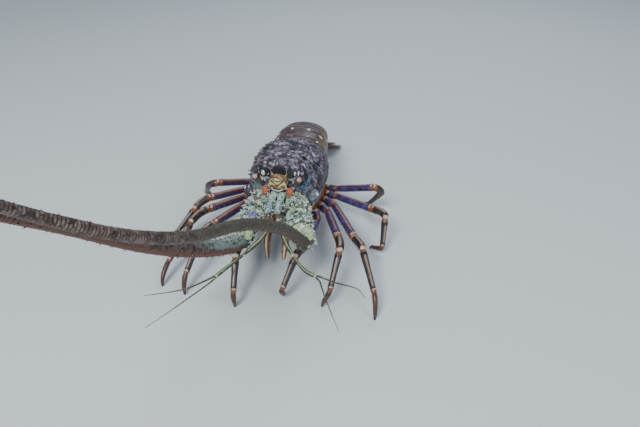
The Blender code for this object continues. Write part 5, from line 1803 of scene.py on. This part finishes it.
    def lower_joints(self, knee: Vector, merus: Vector, foot: Vector, length: float) -> list[Vector]:
        """Wrist and ankle on an arc that bows outward from knee to foot.

        Args:
            knee: The end of the upper leg.
            merus: The upper leg's direction.
            foot: Where the leg stands.
            length: The arc's length.

        Returns:
            The two joints.
        """
        start = knee + merus * 7.0
        chord = foot - start
        ratio = min(chord.length / length, 0.985)
        half_turn = 1.0
        for _ in range(40):
            slope = (half_turn * math.cos(half_turn) - math.sin(half_turn)) / half_turn**2
            half_turn -= (math.sin(half_turn) / half_turn - ratio) / slope
        along = unit(chord)
        outward = Vector((merus.x, merus.y, 0)) + UP * self.bow
        bow = unit(outward - along * outward.dot(along))
        radius = chord.length / (2 * math.sin(half_turn))
        centre = start + chord / 2 - bow * radius * math.cos(half_turn)
        joints = []
        reach = 0.0
        for share in self.lower_shares:
            reach += share
            angle = -half_turn + 2 * half_turn * reach
            joints.append(centre + bow * radius * math.cos(angle) + along * radius * math.sin(angle))
        return joints

    def lower(self, bench: Bench, side: Side, index: int) -> None:
        """Carpus, propodus and dactyl of one leg, from the knee to the small flat foot."""
        elbow, knee = (Vector(p) for p in self.marks[side][index][:2])
        foot = Vector((*self.marks[side][index][2], 0.0))
        merus = unit(knee - elbow)
        wrist, ankle = self.lower_joints(knee, merus, foot, self.lower_lengths[index])
        start = knee + merus * GAP
        shank = unit(ankle - wrist)
        pull = (wrist - start).length
        table = [(hermite(start, merus * pull, wrist, shank * pull, t), r)
                 for t, r in ((0.0, 4.3), (0.1, 4.8), (0.22, 5.0), (0.5, 4.9), (0.78, 4.7), (0.93, 4.6),
                              (0.98, 3.9))]
        table += [(wrist + shank * 1.8, 3.5), (wrist + shank * 4.2, 4.3), (wrist.lerp(ankle, 0.5), 3.6),
                  (ankle - shank * 5.0, 3.35), (ankle - shank * 1.5, 3.4)]
        drop = (foot - ankle).length
        table += [(hermite(ankle, shank * drop, foot, Vector((0, 0, -drop)), t), r)
                  for t, r in ((0.05, 2.7), (0.2, 3.0), (0.5, 2.6), (0.78, 2.0))]
        table.append((foot, self.foot_radius))
        reach = reaches([p for p, _ in table])
        at_wrist, at_ankle, total = reach[7], reach[11] + 1.5, reach[-1]
        skin = tube([Station(p, r, r) for p, r in table], 24, 0.8, first_normal=merus,
                    last_normal=Vector((0, 0, -1)), end_bulge=0.0,
                    relief=lambda r, a: 0.15 * lumps(r, a, 0.35, 2, index))
        self.paint_lower(skin, at_wrist, at_ankle, total)
        hairs = Strewing(0.9, 2.4, 0.07, lean=tuple(unit(foot - ankle) * 0.9), spread=0.35, seed=index + 2)
        leg = f"leg_{side.word}_{index + 1}"
        bench.piece(f"{leg}_shank", skin, SHANK, [f"{leg}_lower"], strewings=[hairs])

    @staticmethod
    def paint_lower(skin: Skin, at_wrist: float, at_ankle: float, total: float) -> None:
        """Paints the lower leg's stripes, joints and hairy claw.

        Args:
            skin: The leg's surface.
            at_wrist: How far along the wrist is.
            at_ankle: How far along the ankle is.
            total: The whole length.
        """
        def middle_part(r: float) -> float:
            """1 along the long part between wrist and ankle."""
            return within(r, at_wrist + 4, at_wrist + 9, at_ankle - 7, at_ankle - 3)

        def wrist_part(r: float) -> float:
            """1 along the short part between knee and wrist."""
            return within(r, 5, 9, at_wrist - 8, at_wrist - 3)

        skin.stroke(
            pale_line=lambda s, r, t, f: (max(0.45 * ease(abs(f), 0.94, 1.0), ease(t, 0.935, 0.99))
                                          * max(middle_part(r), wrist_part(r))),
            blue=lambda s, r, t, f: 0.7 * ease(t, -0.1, 0.6) * middle_part(r),
            joint=lambda s, r, t, f: max(1 - ease(r, 2, 8), hump(r, at_wrist, 3.2), hump(r, at_ankle, 2.8)),
            joint_cream=lambda s, r, t, f: ease(t, 0.1, 0.9) * max(
                hump(r, at_wrist - 2.6, 1.8), 0.8 * hump(r, 2.2, 1.6), 0.8 * hump(r, at_ankle - 2, 1.3)),
            claw=lambda s, r, t, f: ease(r, at_ankle, at_ankle + 3),
            nail=lambda s, r, t, f: ease(r, total - 4.5, total - 2.5),
            strewn=lambda s, r, t, f: within(r, at_ankle - 4, at_ankle + 4, total - 7, total - 4))

    def build(self, bench: Bench, carapace: Carapace) -> None:
        """Makes the breastplate and all ten legs."""
        self.sternum(bench, carapace)
        for side in Side:
            for index in range(len(self.coxa_y)):
                self.upper(bench, carapace, side, index)
                self.lower(bench, side, index)


@dataclass
class Mouthparts:
    """The leg-like outer mouthparts that hang under the head."""

    offset: float = 6.6
    root_y: float = -42.0
    routes: dict[Side, tuple[Triple, ...]] = field(default_factory=lambda: {
        Side.LEFT: ((9.6, -14.0, -2.0), (13.1, -36.0, -1.0), (14.6, -54.0, -5.0), (13.6, -62.0, -22.0)),
        Side.RIGHT: ((-8.1, -14.0, -2.0), (-8.6, -36.0, -1.0), (-8.1, -54.0, -5.0), (-6.1, -62.0, -22.0))})
    swell: tuple[float, ...] = (4.4, 4.6, 4.8, 4.8, 4.6, 4.0, 4.5, 4.5, 4.1, 3.4, 2.0)

    def build(self, bench: Bench, carapace: Carapace) -> None:
        """Makes both mouthparts, striped and bristly below."""
        for side in Side:
            sign = side.value
            root = Vector((sign * self.offset, self.root_y - GAP, carapace.belly_z(self.root_y) - 7.0))
            route = [Vector((x, root.y + y, root.z + z)) for x, y, z in self.routes[side]]
            points = smooth_route([root, *route], len(self.swell))
            skin = tube([Station(p, r * 0.86, r) for p, r in zip(points, self.swell)], 24, 0.8,
                        upward=unit((0, -0.4, 1)), first_normal=FORWARD, end_bulge=1.4)
            skin.stroke(
                pale_line=lambda s, r, t, f: ease(t, 0.93, 0.99),
                strewn=lambda s, r, t, f: ease(s, 0.3, 0.6) * ease(0.2 - f * sign, 0, 1))
            hairs = Strewing(0.8, 3.4, 0.07, lean=(-sign * 0.5, -0.6, -0.3), spread=0.3, seed=6)
            node = f"maxilliped_{side.word}"
            bench.piece(f"{node}_limb", skin, MOUTH, [node], strewings=[hairs])


# Tail

@dataclass
class Abdomen:
    """The six tail segments and the fan behind them."""

    start: tuple[float, float] = (52.0, 69.5)
    segments: tuple[tuple[float, ...], ...] = (
        (17.0, -6.0, 37.0, 25.0, 20.0), (25.0, 1.0, 37.8, 25.5, 20.0), (24.0, 13.0, 36.6, 24.2, 19.0),
        (23.0, 24.0, 34.6, 22.5, 17.5), (22.0, 33.0, 31.5, 20.0, 15.5), (26.0, 38.0, 27.5, 15.5, 12.5))
    profile: tuple[tuple[float, float], ...] = ((0.0, 0.93), (0.16, 0.975), (0.42, 1.0), (0.55, 0.975),
                                                (0.7, 1.0), (1.0, 0.995))
    tail_taper: float = 0.86
    pleuron_length: float = 17.0
    pleopod_length: float = 15.0
    pleopod_segments: tuple[int, ...] = (1, 2, 3, 4)
    sides: int = 112
    rows: int = 30
    fan_angle: float = 25.0
    fan_length: float = 53.0
    fan_thickness: float = 4.2
    fan_edge: float = 1.5
    fan_power: float = 2.6
    telson_outline: tuple[tuple[float, float], ...] = ((0.0, 8.0), (0.16, 11.5), (0.55, 14.5), (0.82, 15.5),
                                                       (0.95, 12.5), (1.0, 8.0))
    uropod_outline: tuple[tuple[float, float], ...] = ((0.0, 3.2), (0.12, 5.6), (0.3, 9.0), (0.62, 12.5),
                                                       (0.86, 10.5), (0.96, 6.5), (1.0, 3.0))
    uropod_thinning: float = 0.8
    uropods: tuple[tuple[str, float, float, float], ...] = (
        ("inner", 12.0, 17.0, 4.4), ("outer", 15.0, 29.0, 8.2))

    def middle(self, along: float) -> Vector:
        """The middle of the tail at a distance behind the carapace."""
        middle = Vector((0, *self.start))
        for length, angle, *_ in self.segments:
            step = min(along, length)
            turn = math.radians(angle)
            middle = middle + Vector((0, math.cos(turn), -math.sin(turn))) * step
            along -= step
            if along <= 1e-6:
                break
        return middle

    def joint_heading(self, index: int) -> Vector:
        """Direction of the flat joint in front of a segment."""
        angles = [0.0] + [s[1] for s in self.segments] + [self.fan_angle]
        turn = math.radians((angles[index] + angles[index + 1]) / 2) if index else 0.0
        return Vector((0, math.cos(turn), -math.sin(turn)))

    def segment(self, bench: Bench, index: int, reach: float) -> None:
        """One tail segment with its pleura, its swimmerets and its pale spots.

        Args:
            bench: Where it is finished.
            index: Which segment, counted from the carapace.
            reach: How far behind the carapace it starts.
        """
        length, _, half_width, top, bottom = self.segments[index]
        start_plane, end_plane = self.joint_heading(index), self.joint_heading(index + 1)
        following = self.segments[min(index + 1, len(self.segments) - 1)]
        taper = following[2] / half_width if following[2] != half_width else self.tail_taper
        rings = []
        paint = {"lines": [], "seam": [], "belly": [], "olive": [], "strewn": []}
        for i in range(self.rows + 1):
            share = i / self.rows
            scale = between(self.profile, share)[0] * (1 + (taper - 1) * share)
            middle = self.middle(reach + GAP + (length - GAP) * share)
            heading = unit(start_plane.lerp(end_plane, share))
            over = unit(LEFTWARD.cross(heading))
            ring = []
            values = {name: [] for name in paint}
            for j in range(self.sides):
                angle = 2 * math.pi * j / self.sides
                c, s = math.cos(angle), math.sin(angle)
                power, height = (2.2, top) if s > 0 else (3.0, bottom)
                x = squarer(c, power) * half_width * scale
                z = squarer(s, power) * height * scale
                groove = 0.9 * hump(share, 0.55, 0.035) * ease(abs(c), 0.12, 0.3) * ease(s, -0.1, 0.3)
                ripple = 0.25 * noise.noise(Vector((c * 6, s * 6, share * 3 + index)))
                out = unit(-LEFTWARD * x + over * z)
                ring.append(middle - LEFTWARD * x + over * z + out * (ripple - groove) * ease(s, -0.3, 0.2))
                values["lines"].append(max(hump(share, 0.93, 0.045), 0.8 * hump(share, 0.47, 0.03),
                                           0.7 * hump(share, 0.68, 0.03)) * ease(s, -0.2, 0.2))
                seam = max(hump(share, 0.55, 0.03) * ease(abs(c), 0.1, 0.3), 1 - ease(share, 0.02, 0.12))
                values["seam"].append(seam * ease(s, -0.2, 0.2))
                values["belly"].append(1 - ease(s, -0.75, -0.35))
                values["olive"].append(0.75 * ease(abs(c), 0.62, 0.85) * ease(s, -0.2, 0.1))
                values["strewn"].append(hump(share, 0.99, 0.02) * ease(s, -0.3, 0.1))
            rings.append(ring)
            for name, row in values.items():
                paint[name].append(row)
        skin = loft(rings, paint, 0.1, 0.1)
        self.add_plates(skin, index, reach)
        spots = self.spots(index, reach)
        skin.dab("spot", spots)
        skin.dab("spot_edge", [Spot(s.middle, tuple(h + 0.9 for h in s.halves)) for s in spots])
        fringe = Strewing(1.1, 1.5, 0.06, lean=tuple(end_plane * 1.6), spread=0.25, seed=index + 3)
        node = f"abdomen_{index + 1}"
        bench.piece(f"{node}_shell", skin, ABDOMEN, [node], strewings=[fringe])

    def spots(self, index: int, reach: float) -> list[Spot]:
        """The pale spots of one segment: two large ones on the second and last, and small ones on all."""
        length, _, half_width, top, _ = self.segments[index]
        found = []
        rows = {1: ((0.42, 52, 3.3), (0.66, 17, 2.2), (0.72, 76, 1.6)), 5: ((0.5, 50, 3.0), (0.6, 16, 1.2))}
        for share, angle, size in rows.get(index, ((0.6, 46, 1.5), (0.5, 74, 1.3), (0.7, 20, 1.0))):
            middle = self.middle(reach + length * share)
            turn = math.radians(angle)
            for side in Side:
                x = side.value * math.sin(turn) ** (2 / 2.2) * half_width
                z = math.cos(turn) ** (2 / 2.2) * top
                found.append(Spot((middle.x + x, middle.y, middle.z + z), (size * 1.2, size, size)))
        return found

    def add_plates(self, skin: Skin, index: int, reach: float) -> None:
        """Adds the pointed pleuron on either side, and the swimmerets below.

        Args:
            skin: The segment's ring.
            index: Which segment.
            reach: How far behind the carapace it starts.
        """
        length, _, half_width, _, bottom = self.segments[index]
        heading = unit(self.middle(reach + length) - self.middle(reach))
        over = unit(LEFTWARD.cross(heading))
        middle = self.middle(reach + length * 0.5)
        for side in Side:
            out = Vector((side.value, 0, 0))
            root = middle + out * (half_width - 3.4) - over * bottom * 0.55
            size = 1.0 if index else 0.75
            point = over * -1.0 + heading * 0.32 + out * 0.12
            plate = blade(root, point, out, self.pleuron_length * size, min(length * 0.36, 8.0), 2.4)
            plate.paint["olive"] = [0.7] * len(plate.points)
            skin.add(plate)
            if index in self.pleopod_segments:
                foot = middle + out * half_width * 0.45 - over * bottom * 0.9
                lie = over * -0.8 + heading * 0.62 + out * 0.25
                leaf = blade(foot, lie, heading, self.pleopod_length, 5.5, 1.2)
                leaf.paint["belly"] = [0.75] * len(leaf.points)
                leaf.paint["strewn"] = [0.35 * ease(s, 0.5, 0.8) for s in leaf.paint["share"]]
                skin.add(leaf)

    def plate(self, root: Vector, lie: Vector, over: Vector, first_normal: Vector,
              outline: tuple[tuple[float, float], ...], thickness: float) -> Skin:
        """One plate of the fan, ribbed lengthwise and thin at its hem.

        Args:
            root: The middle of its root.
            lie: The direction that it lies in.
            over: Its upper side.
            first_normal: The direction that its root faces.
            outline: Its half width at shares of its length.
            thickness: Its thickness at the root.

        Returns:
            The surface, painted with band, hem and strewn.
        """
        rings = []
        paint = {"band": [], "hem": [], "strewn": []}
        steps = 60
        sides = 56
        across = unit(over.cross(lie))
        for i in range(steps + 1):
            share = (i / steps) ** 0.9
            half = between(outline, share)[0]
            thick = thickness + (self.fan_edge - thickness) * share
            normal = unit(unit(first_normal).lerp(lie, ease(share, 0, 0.08)))
            lift = unit(over - normal * over.dot(normal))
            ring = []
            for j in range(sides):
                angle = 2 * math.pi * j / sides
                x = squarer(math.cos(angle), self.fan_power) * half
                z = squarer(math.sin(angle), self.fan_power) * thick / 2
                ribs = 0.22 * math.cos(x * 2.2) * ease(share, 0.15, 0.35)
                z *= 1 + ribs + 0.5 * hump(x, 0, 1.4) * (1 - share)
                p = root + lie * self.fan_length * share + across * x + lift * z
                ring.append(Vector((p.x, p.y, max(p.z, 0.0))))
            rings.append(ring)
            paint["band"].append([hump(share, 0.9, 0.05)] * sides)
            paint["hem"].append([ease(share, 0.955, 0.985)] * sides)
            paint["strewn"].append([ease(share, 0.93, 0.98)] * sides)
        return loft(rings, paint, 0.1, 0.0)

    def fan(self, bench: Bench) -> None:
        """The telson and the two pairs of uropods."""
        total = sum(s[0] for s in self.segments)
        plane = self.joint_heading(len(self.segments))
        turn = math.radians(self.fan_angle)
        lie = Vector((0, math.cos(turn), -math.sin(turn)))
        over = unit(LEFTWARD.cross(lie))
        root = self.middle(total) + plane * GAP
        fringe = Strewing(1.2, 2.2, 0.07, lean=tuple(lie * 2.0), spread=0.3, seed=8)
        telson = self.plate(root, lie, over, plane, self.telson_outline, self.fan_thickness)
        bench.piece("telson_plate", telson, TAIL_FAN, ["telson"], strewings=[fringe])
        for side in Side:
            for name, offset, splay, drop in self.uropods:
                angle = math.radians(splay)
                spread = lie * math.cos(angle) + Vector((side.value, 0, 0)) * math.sin(angle)
                start = root + Vector((side.value * offset, 0, 0)) - over * drop
                start = start - plane * (start - root).dot(plane)
                skin = self.plate(start, spread, over, plane, self.uropod_outline,
                                  self.fan_thickness * self.uropod_thinning)
                node = f"uropod_{side.word}_{name}"
                bench.piece(f"{node}_plate", skin, TAIL_FAN, [node], strewings=[fringe])

    def build(self, bench: Bench) -> None:
        """Makes the six segments and the fan."""
        reach = 0.0
        for index, segment in enumerate(self.segments):
            self.segment(bench, index, reach)
            reach += segment[0]
        self.fan(bench)


def blade(root: Vector, direction: Vector, flat_normal: Vector, length: float, half_width: float,
          half_thickness: float) -> Skin:
    """A flat pointed plate that stands on a root, with its foot sunk below it.

    Args:
        root: Where it leaves its carrier.
        direction: Where it points.
        flat_normal: The side that its flat faces.
        length: How far it stands out.
        half_width: Half its width.
        half_thickness: Half its thickness.

    Returns:
        The surface.
    """
    direction = unit(direction)
    flat_normal = unit(flat_normal - direction * flat_normal.dot(direction))
    table = ((-0.35, 1.0, 1.0), (0.15, 0.95, 0.9), (0.4, 0.8, 0.75), (0.6, 0.6, 0.6), (0.8, 0.36, 0.45),
             (0.95, 0.16, 0.3))
    stations = [Station(root + direction * length * at, half_width * wide, half_thickness * thick)
                for at, wide, thick in table]
    return tube(stations, 24, 0.7, upward=flat_normal, end_bulge=0.6)


# Stage

@dataclass
class Studio:
    """A pale floor, soft lights and the camera at the photograph's viewing angle."""

    camera_place: Triple = (120.0, -511.0, 400.0)
    camera_yaw: float = -8.8
    camera_pitch: float = 36.8
    camera_view: float = 68.0
    sensor: float = 36.0
    floor_half: float = 6.0
    floor_colour: Colour = (0.60, 0.66, 0.70)
    sky: Colour = (0.80, 0.90, 1.0)
    sky_strength: float = 0.36
    lights: tuple[tuple[str, Triple, float, float, Colour], ...] = (
        ("key_light", (-0.35, -1.2, 1.6), 0.8, 36.0, (1.0, 0.98, 0.94)),
        ("fill_light", (1.3, -0.9, 1.1), 1.0, 10.0, (0.86, 0.93, 1.0)),
        ("back_light", (0.3, 1.4, 1.5), 1.0, 10.0, (0.9, 0.95, 1.0)),
    )

    def camera(self, bench: Bench) -> None:
        """Places the camera that the photograph was taken from."""
        data = bpy.data.cameras.new("camera")
        data.sensor_width = self.sensor
        data.lens = self.sensor / 2 / math.tan(math.radians(self.camera_view / 2))
        data.clip_start = 0.01
        camera = placed("camera", data)
        camera.location = Vector(self.camera_place) * MM + bench.shift
        camera.rotation_euler = (math.radians(90 - self.camera_pitch), 0.0, math.radians(-self.camera_yaw))
        bpy.context.scene.camera = camera

    def floor(self) -> None:
        """A wide pale floor, slightly matt and mottled."""
        half = self.floor_half
        mesh = bpy.data.meshes.new("floor")
        corners = [(-half, -half, 0), (half, -half, 0), (half, half, 0), (-half, half, 0)]
        mesh.from_pydata(corners, [], [(0, 1, 2, 3)])
        floor = placed("floor", mesh)
        grit = (Bump(Grain.CLOUDS, 2.0, 0.05),)
        finish = Finish("pale_floor", "", self.floor_colour, bumps=grit, rough=(0.7, 0.8))
        mesh.materials.append(finish.material())

    def lamps(self) -> None:
        """Soft lights and a pale sky."""
        for name, place, size, power, colour in self.lights:
            data = bpy.data.lights.new(name, "AREA")
            data.shape = "DISK"
            data.size = size
            data.energy = power
            data.color = colour
            lamp = placed(name, data)
            lamp.location = place
            lamp.rotation_euler = (Vector((0, 0, 0.05)) - Vector(place)).to_track_quat("-Z", "Y").to_euler()
        world = bpy.data.worlds.new("sky")
        world.use_nodes = True
        background = world.node_tree.nodes["Background"]
        background.inputs[0].default_value = (*self.sky, 1.0)
        background.inputs[1].default_value = self.sky_strength
        bpy.context.scene.world = world

    def build(self, bench: Bench) -> None:
        """Sets camera, floor and lights."""
        self.camera(bench)
        self.floor()
        self.lamps()


def main() -> None:
    """Builds every piece of the animal, then the studio."""
    logging.basicConfig(level=logging.INFO, format="%(message)s")
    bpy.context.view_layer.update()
    carapace = Carapace()
    bench = Bench(carapace.front_y)
    head = Head()
    carapace.build(bench)
    head.build(bench)
    Antennules().build(bench, head)
    Antennae().build(bench, head)
    Mouthparts().build(bench, carapace)
    Legs().build(bench, carapace)
    Abdomen().build(bench)
    Studio().build(bench)


if __name__ == "__main__":
    main()
